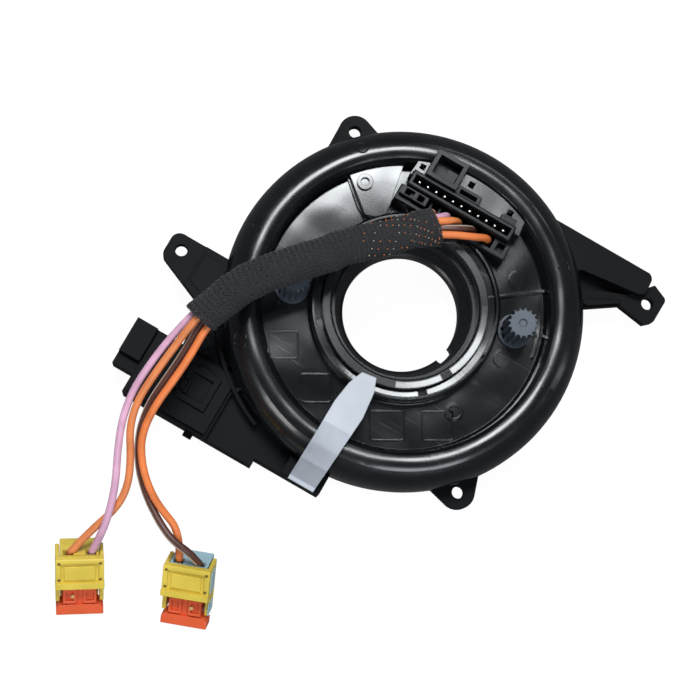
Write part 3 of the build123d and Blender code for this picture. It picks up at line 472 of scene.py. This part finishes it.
# Ejector marks: faint rings on the sloping band, where pins pushed the disc out of its mould.
# Each lies flat on the slope under it.
mark_line = 0.0003
for name, radius, turn, wide in (
    ("mark_top", 0.0437, 135.0, 0.0019), ("mark_left", 0.0442, 182.0, 0.0015),
    ("mark_low", 0.0445, 222.3, 0.0022), ("mark_right", 0.0432, 44.0, 0.0018),
    ("mark_side", 0.0429, -1.5, 0.0015),
):
    x, y = radius * math.cos(math.radians(turn)), radius * math.sin(math.radians(turn))
    seat, facing = nodes["rotor_disc"].ray_cast(Vector((x, y, 0.05)), down)[1:3]
    place = Matrix.Translation(seat) @ facing.to_track_quat("Z", "Y").to_matrix().to_4x4()
    slab(
        name, [ring(0, 0, wide), ring(0, 0, wide - mark_line)], -0.0006, 0.0001,
        disc_black, "rotor", place, 0.00005,
    )

# Bore sleeve and retaining ring: satin black, snapped into the hub from above.
bore_black = moulded("bore_black", (0.010, 0.0105, 0.012), 0.26, grain=0.002, wave=0.02)
finish_nodes(bore_black, "bore_sleeve", "retaining_ring")

# Pin header: dark grey shell and comb in matt plastic, with a row of square pins between them.
# A small tower stands behind the shell, and a step with two pockets beside the comb.
header_grey = moulded("header_grey", (0.008, 0.009, 0.011), 0.32, shine=0.22, grain=0.004)
finish_nodes(header_grey, "header_shell", "header_comb")
for name, loops, low, high in (
    ("tower_block", [plate(-0.0066, 0.0349, 0.0030, 0.0034)], 0.0150, 0.0196),
    ("comb_step", [plate(-0.0126, 0.0262, 0.0080, 0.0026), plate(-0.0139, 0.0262, 0.0024, 0.0016),
                   plate(-0.0106, 0.0262, 0.0018, 0.0016)], 0.0148, 0.0182),
):
    slab(name, loops, low, high, header_grey, "rotor", round_edge=0.0001)

# Drive posts: two splined studs in dark blue-grey plastic, satin on top.
post_grey = moulded("post_grey", (0.055, 0.068, 0.088), 0.40, grain=0.008, cloud_scale=180.0)
finish_nodes(post_grey, "drive_post_right", "drive_post_left")


# Harness wires: four stranded leads in soft vinyl, 2 mm over the insulation, from the comb to the two plugs.
# Two of them carry a tracer stripe along one side.
def route(points):
    """The points along a wire's own line, read from its spline."""
    data = bpy.data.curves.new("route", "CURVE")
    data.dimensions = "3D"
    data.resolution_u = 10
    spline = data.splines.new("NURBS")
    spline.points.add(len(points) - 1)
    for point, place in zip(spline.points, points):
        point.co = (*place, 1)
    spline.order_u = 3
    spline.use_endpoint_u = True
    holder = bpy.data.objects.new("route", data)
    line = bpy.data.meshes.new_from_object(holder)
    found = [v.co.copy() for v in line.vertices]
    bpy.data.objects.remove(holder)
    bpy.data.meshes.remove(line)
    return found


def frames(line, first):
    """A direction across the line at each of its points, carried along without twist."""
    across = Vector(first)
    turned = []
    for i, point in enumerate(line):
        ahead = (line[min(i + 1, len(line) - 1)] - line[max(i - 1, 0)]).normalized()
        across = (across - ahead * across.dot(ahead)).normalized()
        turned.append((across.copy(), ahead.cross(across)))
    return turned


def tube(name, line, radius, first=(1, 0, 0), sides=18, twist=0.0):
    """A closed round tube along the line, with a UV map: U round it, V along it in metres."""
    mesh = bpy.data.meshes.new(name)
    form = bmesh.new()
    uv = form.loops.layers.uv.new("along")
    rings = []
    run = [0.0]
    for a, b in zip(line, line[1:]):
        run.append(run[-1] + (b - a).length)
    for point, (across, up) in zip(line, frames(line, first)):
        ring = []
        for k in range(sides):
            turn = 2 * math.pi * k / sides
            ring.append(form.verts.new(point + radius * (across * math.cos(turn) + up * math.sin(turn))))
        rings.append(ring)
    for i in range(len(rings) - 1):
        for k in range(sides):
            near, far = rings[i], rings[i + 1]
            face = form.faces.new((near[k], near[(k + 1) % sides], far[(k + 1) % sides], far[k]))
            face.smooth = True
            for loop, (u, v) in zip(face.loops, ((k, i), (k + 1, i), (k + 1, i + 1), (k, i + 1))):
                loop[uv].uv = (u / sides + twist * run[v], run[v])
    form.faces.new(list(reversed(rings[0])))
    form.faces.new(rings[-1])
    form.to_mesh(mesh)
    form.free()
    piece = bpy.data.objects.new(name, mesh)
    scene.collection.objects.link(piece)
    return piece


def insulation(name, colour, stripe=None, middle=0.5, wide=0.2):
    """Wire insulation, plain or with a tracer stripe on one side."""
    mat = bpy.data.materials.new(name)
    mat.use_nodes = True
    tree = mat.node_tree
    shader = tree.nodes["Principled BSDF"]
    shader.inputs["IOR"].default_value = 1.5
    cover = tree.nodes.new("ShaderNodeGroup")
    cover.node_tree = skin
    cover.inputs["Colour"].default_value = (*colour, 1)
    cover.inputs["Roughness"].default_value = 0.42
    cover.inputs["Cloud Scale"].default_value = 140.0
    cover.inputs["Grain Scale"].default_value = 4000.0
    cover.inputs["Grain"].default_value = 0.003
    cover.inputs["Wave"].default_value = 0.05
    cover.inputs["Scuffs"].default_value = 0.15
    place = tree.nodes.new("ShaderNodeTexCoord")
    tree.links.new(place.outputs["Object"], cover.inputs["Vector"])
    if stripe:
        split = tree.nodes.new("ShaderNodeSeparateXYZ")
        tree.links.new(place.outputs["UV"], split.inputs[0])
        ragged = spread(tree, noise(tree, place.outputs["Object"], 260.0, 2.0), 0, 1, -0.02, 0.02)
        edge = math_node(tree, "ADD", split.outputs[0], ragged)
        turn = math_node(tree, "FRACT", edge)
        off = math_node(tree, "ABSOLUTE", math_node(tree, "SUBTRACT", turn, middle))
        mask = spread(tree, off, wide / 2 - 0.02, wide / 2 + 0.02, 1.0, 0.0)
        two = tree.nodes.new("ShaderNodeMix")
        two.data_type = "RGBA"
        tree.links.new(mask, two.inputs["Factor"])
        tree.links.new(cover.outputs["Colour"], two.inputs["A"])
        two.inputs["B"].default_value = (*stripe, 1)
        tree.links.new(two.outputs["Result"], shader.inputs["Base Color"])
    else:
        tree.links.new(cover.outputs["Colour"], shader.inputs["Base Color"])
    tree.links.new(cover.outputs["Roughness"], shader.inputs["Roughness"])
    bump = tree.nodes.new("ShaderNodeBump")
    bump.inputs["Distance"].default_value = 0.001
    tree.links.new(cover.outputs["Height"], bump.inputs["Height"])
    tree.links.new(bump.outputs[0], shader.inputs["Normal"])
    return mat


wire_d = 0.002
routes = {
    "pink": [
        (-0.0020, 0.0268, 0.0105), (-0.0020, 0.0268, 0.0164), (-0.0045, 0.0233, 0.0204),
        (-0.0098, 0.0188, 0.0215), (-0.0149, 0.0123, 0.0242), (-0.0217, 0.0055, 0.0270),
        (-0.0285, -0.0027, 0.0284), (-0.0371, -0.0123, 0.0280), (-0.0430, -0.0212, 0.0260),
        (-0.0461, -0.0305, 0.0234), (-0.0483, -0.0388, 0.0206), (-0.0496, -0.0475, 0.0186),
        (-0.0500, -0.0557, 0.0170), (-0.0486, -0.0633, 0.0162), (-0.0453, -0.0710, 0.0164),
        (-0.0415, -0.0784, 0.0164), (-0.0391, -0.0862, 0.0152), (-0.0384, -0.0918, 0.0127),
        (-0.0385, -0.0964, 0.0085),
    ],
    "traced": [
        (0.0015, 0.0268, 0.0105), (0.0015, 0.0268, 0.0166), (-0.0029, 0.0233, 0.0219),
        (-0.0087, 0.0178, 0.0233), (-0.0139, 0.0113, 0.0260), (-0.0207, 0.0045, 0.0288),
        (-0.0274, -0.0036, 0.0302), (-0.0360, -0.0132, 0.0298), (-0.0417, -0.0219, 0.0278),
        (-0.0447, -0.0310, 0.0252), (-0.0461, -0.0398, 0.0219), (-0.0471, -0.0482, 0.0195),
        (-0.0477, -0.0564, 0.0179), (-0.0461, -0.0636, 0.0166), (-0.0420, -0.0700, 0.0152),
        (-0.0389, -0.0764, 0.0140), (-0.0384, -0.0830, 0.0129), (-0.0416, -0.0922, 0.0121),
        (-0.0434, -0.0994, 0.0089),
    ],
    "brown": [
        (0.0059, 0.0268, 0.0105), (0.0059, 0.0268, 0.0164), (0.0025, 0.0242, 0.0206),
        (-0.0031, 0.0208, 0.0202), (-0.0077, 0.0168, 0.0209), (-0.0127, 0.0103, 0.0236),
        (-0.0195, 0.0035, 0.0264), (-0.0262, -0.0046, 0.0278), (-0.0348, -0.0142, 0.0274),
        (-0.0403, -0.0225, 0.0254), (-0.0433, -0.0314, 0.0228), (-0.0435, -0.0399, 0.0194),
        (-0.0441, -0.0476, 0.0174), (-0.0449, -0.0559, 0.0156), (-0.0434, -0.0638, 0.0143),
        (-0.0396, -0.0706, 0.0134), (-0.0344, -0.0760, 0.0129), (-0.0282, -0.0803, 0.0132),
        (-0.0219, -0.0834, 0.0142), (-0.0159, -0.0838, 0.0134), (-0.0124, -0.0851, 0.0088),
    ],
    "orange": [
        (0.0104, 0.0268, 0.0105), (0.0104, 0.0268, 0.0162), (0.0070, 0.0242, 0.0206),
        (0.0004, 0.0209, 0.0219), (-0.0067, 0.0159, 0.0228), (-0.0117, 0.0093, 0.0254),
        (-0.0185, 0.0025, 0.0282), (-0.0251, -0.0055, 0.0296), (-0.0337, -0.0151, 0.0292),
        (-0.0390, -0.0232, 0.0272), (-0.0416, -0.0323, 0.0242), (-0.0415, -0.0410, 0.0212),
        (-0.0423, -0.0492, 0.0193), (-0.0431, -0.0568, 0.0179), (-0.0422, -0.0644, 0.0167),
        (-0.0386, -0.0702, 0.0160), (-0.0340, -0.0746, 0.0154), (-0.0290, -0.0776, 0.0147),
        (-0.0210, -0.0804, 0.0126), (-0.0177, -0.0871, 0.0079),
    ],
}
wire_nodes = {
    "pink": "wire_pink", "traced": "wire_orange_traced",
    "brown": "wire_brown_striped", "orange": "wire_orange",
}
wire_mats = {
    "pink": insulation("wire_pink", (0.66, 0.36, 0.50)),
    "traced": insulation("wire_orange_traced", (0.72, 0.22, 0.07), (0.05, 0.018, 0.012), 0.5, 0.30),
    "brown": insulation("wire_brown_striped", (0.085, 0.03, 0.02), (0.52, 0.42, 0.34), 0.35, 0.30),
    "orange": insulation("wire_orange", (0.78, 0.20, 0.05)),
}
wire_lines = {key: route(points) for key, points in routes.items()}
for key, line in wire_lines.items():
    wire = tube("lead_" + key, line, wire_d / 2)
    wire.data.materials.append(wire_mats[key])
    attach(wire, "rotor")
    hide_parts(wire_nodes[key])

# Harness sleeve: a braided black fibre tube over the four wires, flattened where it lies across the disc.
# Its strands go over and under each other, and open out a little at the mouth by the header.
sleeve_line = route([
    (-0.0029, 0.0213, 0.0208), (-0.0082, 0.0173, 0.0221), (-0.0133, 0.0108, 0.0248),
    (-0.0201, 0.0040, 0.0276), (-0.0268, -0.0041, 0.0290), (-0.0354, -0.0137, 0.0286),
    (-0.0410, -0.0222, 0.0266), (-0.0440, -0.0312, 0.0240),
])
path_mesh = bpy.data.meshes.new("sleeve_path")
path_mesh.from_pydata(sleeve_line, [(i, i + 1) for i in range(len(sleeve_line) - 1)], [])
braid = bpy.data.objects.new("braided_sleeve", path_mesh)
scene.collection.objects.link(braid)


def geometry_tree(name, inputs):
    tree = bpy.data.node_groups.new(name, "GeometryNodeTree")
    tree.interface.new_socket("Geometry", in_out="INPUT", socket_type="NodeSocketGeometry")
    for label, kind, value in inputs:
        socket = tree.interface.new_socket(label, in_out="INPUT", socket_type=kind)
        if value is not None:
            socket.default_value = value
    tree.interface.new_socket("Geometry", in_out="OUTPUT", socket_type="NodeSocketGeometry")
    return tree, tree.nodes.new("NodeGroupInput").outputs, tree.nodes.new("NodeGroupOutput").inputs


def vector_math(tree, operation, *values):
    node = tree.nodes.new("ShaderNodeVectorMath")
    node.operation = operation
    for slot_in, value in zip(node.inputs, values):
        if isinstance(value, tuple):
            slot_in.default_value = value
        else:
            tree.links.new(value, slot_in)
    return node.outputs[0]


def scaled(tree, vector, factor):
    node = tree.nodes.new("ShaderNodeVectorMath")
    node.operation = "SCALE"
    tree.links.new(vector, node.inputs[0])
    if isinstance(factor, (int, float)):
        node.inputs["Scale"].default_value = factor
    else:
        tree.links.new(factor, node.inputs["Scale"])
    return node.outputs[0]


tree, given, result = geometry_tree("braid", (
    ("Strands", "NodeSocketInt", 38),
    ("Turns", "NodeSocketFloat", 2.6),
    ("Half Width", "NodeSocketFloat", 0.0044),
    ("Half Height", "NodeSocketFloat", 0.0032),
    ("Strand Radius", "NodeSocketFloat", 0.00023),
    ("Steps", "NodeSocketInt", 150),
    ("Material", "NodeSocketMaterial", None),
))
to_curve = tree.nodes.new("GeometryNodeMeshToCurve")
tree.links.new(given["Geometry"], to_curve.inputs[0])
straight = tree.nodes.new("GeometryNodeCurvePrimitiveLine")
resample = tree.nodes.new("GeometryNodeResampleCurve")
tree.links.new(straight.outputs[0], resample.inputs["Curve"])
tree.links.new(given["Steps"], resample.inputs["Count"])
copies = tree.nodes.new("GeometryNodeDuplicateElements")
copies.domain = "SPLINE"
tree.links.new(resample.outputs[0], copies.inputs["Geometry"])
tree.links.new(math_node(tree, "MULTIPLY", given["Strands"], 2.0), copies.inputs["Amount"])
number = copies.outputs["Duplicate Index"]
along = tree.nodes.new("GeometryNodeSplineParameter").outputs["Factor"]
sample = tree.nodes.new("GeometryNodeSampleCurve")
sample.mode = "FACTOR"
sample.use_all_curves = False
tree.links.new(to_curve.outputs[0], sample.inputs["Curves"])
tree.links.new(along, sample.inputs["Factor"])
ahead = sample.outputs["Tangent"]
wide_way = vector_math(tree, "NORMALIZE", vector_math(tree, "CROSS_PRODUCT", ahead, (0.0, 0.0, 1.0)))
high_way = vector_math(tree, "CROSS_PRODUCT", wide_way, ahead)
first_half = math_node(tree, "LESS_THAN", number, given["Strands"])
side = math_node(tree, "SUBTRACT", math_node(tree, "MULTIPLY", first_half, 2.0), 1.0)
share = math_node(tree, "DIVIDE", number, given["Strands"])
lay = math_node(tree, "MULTIPLY", math_node(tree, "MULTIPLY", along, given["Turns"]), side)
stray = tree.nodes.new("ShaderNodeTexNoise")
stray.noise_dimensions = "2D"
stray.inputs["Scale"].default_value = 1.0
stray_way = tree.nodes.new("ShaderNodeCombineXYZ")
tree.links.new(math_node(tree, "MULTIPLY", along, 26.0), stray_way.inputs[0])
tree.links.new(math_node(tree, "MULTIPLY", number, 3.7), stray_way.inputs[1])
tree.links.new(stray_way.outputs[0], stray.inputs["Vector"])
wander = spread(tree, stray.outputs["Fac"], 0.3, 0.7, -0.06, 0.06)
turned = math_node(tree, "MULTIPLY", math_node(tree, "ADD", share, lay), 2 * math.pi)
angle = math_node(tree, "ADD", turned, wander)
crossings = math_node(tree, "MULTIPLY", math_node(tree, "MULTIPLY", given["Strands"], given["Turns"]), along)
over = math_node(tree, "COSINE", math_node(tree, "MULTIPLY", crossings, 2 * math.pi))
lift = math_node(tree, "MULTIPLY", math_node(tree, "MULTIPLY", over, side), given["Strand Radius"])
mouth = spread(tree, along, 0.0, 0.12, 1.10, 1.0)
tail = spread(tree, along, 0.72, 1.0, 1.0, 1.04)
lumps = tree.nodes.new("ShaderNodeTexNoise")
lumps.inputs["Scale"].default_value = 150.0
lumps.inputs["Detail"].default_value = 1.0
angle_way = tree.nodes.new("ShaderNodeCombineXYZ")
tree.links.new(math_node(tree, "MULTIPLY", math_node(tree, "COSINE", angle), 0.004), angle_way.inputs[0])
tree.links.new(math_node(tree, "MULTIPLY", math_node(tree, "SINE", angle), 0.004), angle_way.inputs[1])
lump_spot = vector_math(tree, "ADD", sample.outputs["Position"], angle_way.outputs[0])
tree.links.new(lump_spot, lumps.inputs["Vector"])
uneven = spread(tree, lumps.outputs["Fac"], 0.3, 0.7, 0.94, 1.07)
swell = math_node(tree, "MULTIPLY", math_node(tree, "MULTIPLY", mouth, tail), uneven)
half_wide = math_node(tree, "ADD", math_node(tree, "MULTIPLY", given["Half Width"], swell), lift)
half_high = math_node(tree, "ADD", math_node(tree, "MULTIPLY", given["Half Height"], swell), lift)
place = vector_math(
    tree, "ADD",
    scaled(tree, wide_way, math_node(tree, "MULTIPLY", half_wide, math_node(tree, "COSINE", angle))),
    scaled(tree, high_way, math_node(tree, "MULTIPLY", half_high, math_node(tree, "SINE", angle))),
)
across = math_node(tree, "COSINE", angle)
mouth_skew = spread(tree, along, 0.0, 0.15, 0.0008, 0.0)
mouth_slant = math_node(tree, "MULTIPLY", math_node(tree, "ADD", across, 1.0), mouth_skew)
tail_slant = math_node(tree, "MULTIPLY", across, spread(tree, along, 0.75, 1.0, 0.0, 0.0005))
slant = scaled(tree, ahead, math_node(tree, "ADD", mouth_slant, tail_slant))
move = tree.nodes.new("GeometryNodeSetPosition")
tree.links.new(copies.outputs["Geometry"], move.inputs["Geometry"])
spot = vector_math(tree, "ADD", vector_math(tree, "ADD", sample.outputs["Position"], slant), place)
tree.links.new(spot, move.inputs["Position"])
profile = tree.nodes.new("GeometryNodeCurvePrimitiveCircle")
profile.inputs["Resolution"].default_value = 5
tree.links.new(given["Strand Radius"], profile.inputs["Radius"])
sweep = tree.nodes.new("GeometryNodeCurveToMesh")
tree.links.new(move.outputs[0], sweep.inputs["Curve"])
tree.links.new(profile.outputs[0], sweep.inputs["Profile Curve"])
sweep.inputs["Fill Caps"].default_value = True
smooth = tree.nodes.new("GeometryNodeSetShadeSmooth")
tree.links.new(sweep.outputs[0], smooth.inputs["Geometry"])
real = tree.nodes.new("GeometryNodeRealizeInstances")
tree.links.new(smooth.outputs[0], real.inputs[0])
dress = tree.nodes.new("GeometryNodeSetMaterial")
tree.links.new(real.outputs[0], dress.inputs["Geometry"])
tree.links.new(given["Material"], dress.inputs["Material"])
tree.links.new(dress.outputs[0], result["Geometry"])


def made_solid(piece, tree, **values):
    """Runs the tree on the piece and keeps its result as a plain mesh."""
    grown = piece.modifiers.new(tree.name, "NODES")
    grown.node_group = tree
    for item in tree.interface.items_tree:
        if item.in_out == "INPUT" and item.name in values:
            grown[item.identifier] = values[item.name]
    view = bpy.context.evaluated_depsgraph_get()
    solid = bpy.data.meshes.new_from_object(piece.evaluated_get(view), depsgraph=view)
    piece.modifiers.remove(grown)
    solid.name = piece.name
    piece.data = solid
    return piece


fibre = moulded("sleeve_fibre", (0.011, 0.0112, 0.013), 0.8, grain=0.02, cloud_scale=90.0, corner=0.00001)
fibre.node_tree.nodes["Principled BSDF"].inputs["Sheen Weight"].default_value = 0.12
made_solid(braid, tree, Material=fibre)
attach(braid, "rotor")
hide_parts("harness_sleeve")


# Inside of the sleeve: wire colour that shows as specks between the strands near the mouth, and, behind the
# rest of the braid, a dark sheet in the same fibre that paints the shade inside the sleeve between the
# strands.
def flat_tube(name, line, half_wide, half_high, sides=28):
    """An oval tube along the line, lying flat, with open ends and a thin wall."""
    mesh = bpy.data.meshes.new(name)
    form = bmesh.new()
    rings = []
    for i, point in enumerate(line):
        ahead = (line[min(i + 1, len(line) - 1)] - line[max(i - 1, 0)]).normalized()
        across = ahead.cross(Vector((0, 0, 1))).normalized()
        up = across.cross(ahead)
        rings.append([
            form.verts.new(
                point
                + across * half_wide * math.cos(2 * math.pi * k / sides)
                + up * half_high * math.sin(2 * math.pi * k / sides)
            )
            for k in range(sides)
        ])
    for near, far in zip(rings, rings[1:]):
        for k in range(sides):
            form.faces.new((near[k], far[k], far[(k + 1) % sides], near[(k + 1) % sides])).smooth = True
    bmesh.ops.recalc_face_normals(form, faces=form.faces)
    form.to_mesh(mesh)
    form.free()
    piece = bpy.data.objects.new(name, mesh)
    scene.collection.objects.link(piece)
    wall = piece.modifiers.new("wall", "SOLIDIFY")
    wall.thickness = 0.00015
    wall.offset = -1
    return piece


specks = bpy.data.meshes.new("mouth_specks")
form = bmesh.new()
speck_count, speck_radius, speck_reach = 90, 0.00018, 26
speck_half_wide, speck_half_high = 0.00478, 0.00358
for i in range(speck_count):
    step = 1 + int(speck_reach * ((i * 0.6180) % 1) ** 2)
    spot = sleeve_line[step]
    ahead = (sleeve_line[step + 1] - spot).normalized()
    across = ahead.cross(Vector((0, 0, 1))).normalized()
    up = across.cross(ahead)
    turn = math.radians(8 + 160 * ((i * 0.7549) % 1))
    place = spot + across * speck_half_wide * math.cos(turn) + up * speck_half_high * math.sin(turn)
    made = bmesh.ops.create_icosphere(
        form, subdivisions=1, radius=speck_radius, matrix=Matrix.Translation(place)
    )
    for face in {face for vert in made["verts"] for face in vert.link_faces}:
        face.material_index = i % 3 == 0
        face.smooth = True
form.to_mesh(specks)
form.free()
mouth_specks = bpy.data.objects.new("mouth_specks", specks)
scene.collection.objects.link(mouth_specks)
specks.materials.append(wire_mats["orange"])
specks.materials.append(moulded("speck_pale", (0.55, 0.50, 0.42), 0.5))
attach(mouth_specks, "rotor")

# Painted shade: a thin dark tube inside the braid, over the wires, so that the gaps between strands show
# dark.
braid_shade_sheet = flat_tube("sleeve_painted_shade", sleeve_line[5:-3], 0.0042, 0.0030)
braid_shade_sheet.data.materials.append(fibre)
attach(braid_shade_sheet, "rotor")

# Airbag plugs: a yellow cover over a coded core, with an orange secondary lock that slides out of the front.
# Each holds two female terminals crimped to its pair of wires.
plug_yellow = moulded("plug_yellow", (0.66, 0.49, 0.06), 0.32, grain=0.006, scuffs=0.15)
lock_orange = moulded("lock_orange", (0.70, 0.10, 0.03), 0.30, grain=0.004)
core_grey = moulded("core_grey", (0.33, 0.50, 0.56), 0.34, grain=0.004)
finish_nodes(plug_yellow, "plug_left_cover", "plug_left_core", "plug_right_cover")
finish_nodes(core_grey, "plug_right_core")
finish_nodes(lock_orange, "plug_left_lock", "plug_right_lock")
for name in ("plug_left_cover", "plug_right_cover", "plug_left_lock", "plug_right_lock"):
    weld = nodes[name].modifiers.new("weld", "WELD")
    weld.merge_threshold = 1e-6
    edge = nodes[name].modifiers.new("edge", "BEVEL")
    edge.width = 0.00035
    edge.segments = 2
    edge.limit_method = "ANGLE"

# Plugs' raised forms: a lip, a panel and four pits on each cover, the lock's head, and its two bays,
# one of which shows a pin. The pits are thin dark-brown discs on the face, painted shade in place of holes.
# The right plug's core has a thin window edge and a foot.
pin_pale = moulded("pin_pale", (0.62, 0.40, 0.16), 0.35)
# Painted shade: the pits' discs are coloured as the shade inside a hole; they stand a hair proud of the face
# and no hole is cut.
pit_painted_shade = moulded("pit_painted_shade", (0.16, 0.10, 0.012), 0.6)
pit_radius = 0.00042
pits = [
    ("pit_" + letter, [ring(x, y, pit_radius)], -0.0003, 0.00004, pit_painted_shade, "rotor", "plug_yellow")
    for letter, x, y in (
        ("a", -0.0053, -0.0012), ("b", 0.0053, -0.0012), ("c", -0.0053, -0.0060), ("d", 0.0053, -0.0060),
    )
]
for side, spot, wide_way, out_way in (
    ("left", (-0.0399, -0.0992, 0.0123), (0.849, 0.523, -0.072), (0.342, -0.441, 0.830)),
    ("right", (-0.0151, -0.0876, 0.0120), (0.929, 0.337, 0.152), (0.044, -0.509, 0.859)),
):
    facing = Vector(out_way).normalized()
    across = Vector(wide_way)
    across = (across - facing * across.dot(facing)).normalized()
    tilt = Matrix((across, facing.cross(across), facing)).transposed().to_4x4()
    place = Matrix.Translation(Vector(spot)) @ tilt
    for name, loops, low, high, mat, body, paint in (
        ("lip", [plate(0, -0.0078, 0.0126, 0.0017)], -0.0021, 0.0005, plug_yellow, "rotor", "plug_yellow"),
        ("panel", [plate(0, -0.0043, 0.0080, 0.0040)], -0.0008, -0.0003, plug_yellow, "rotor",
         "plug_yellow"),
        *pits,
        ("lock_head", [[(-0.0061, -0.0177), (0.0061, -0.0177), (0.0061, -0.0164), (0.0053, -0.0148),
                        (-0.0053, -0.0148), (-0.0061, -0.0164)]], -0.0064, -0.0019,
         lock_orange, side + "_plug_lock", "lock_orange"),
        ("lock_bay_a", [plate(-0.0026, -0.0122, 0.0034, 0.0044), plate(-0.0026, -0.0122, 0.0020, 0.0030)],
         -0.0028, -0.0019, lock_orange, side + "_plug_lock", "lock_orange"),
        ("lock_bay_b", [plate(0.0026, -0.0122, 0.0034, 0.0044), plate(0.0026, -0.0122, 0.0020, 0.0030)],
         -0.0028, -0.0019, lock_orange, side + "_plug_lock", "lock_orange"),
        ("lock_pin", [ring(-0.0018 if side == "left" else 0.0018, -0.0122, 0.0005)], -0.0028, -0.0018,
         pin_pale, side + "_plug_lock", "lock_orange"),
    ):
        slab("plug_" + side + "_" + name, loops, low, high, mat, body, place)
    if side == "right":
        for name, middle, wide in (("window", -0.0044, 0.0060), ("foot", -0.0120, 0.0034)):
            loop = plate(0.0062, middle, 0.0004, wide)
            slab("plug_right_" + name, [loop], -0.0064, -0.0022, core_grey, "rotor", place)

# Harness ends: each wire runs on its own line from the comb to its plug.
# The loop below only reads each wire's line with its plug's side.
for key, side in (("pink", "left"), ("traced", "left"), ("brown", "right"), ("orange", "right")):
    line = wire_lines[key]

# Lock strap: a milky white plastic strip that keeps the rotor centred until the part is fitted.
# It hooks over the rim and is pulled off by hand.
strap_white = moulded("strap_white", (0.38, 0.40, 0.44), 0.30, grain=0.003, wave=0.03)
strap_shader = strap_white.node_tree.nodes["Principled BSDF"]
strap_shader.inputs["Subsurface Weight"].default_value = 0.25
strap_shader.inputs["Subsurface Radius"].default_value = (0.003, 0.003, 0.003)
finish_nodes(strap_white, "lock_strap")
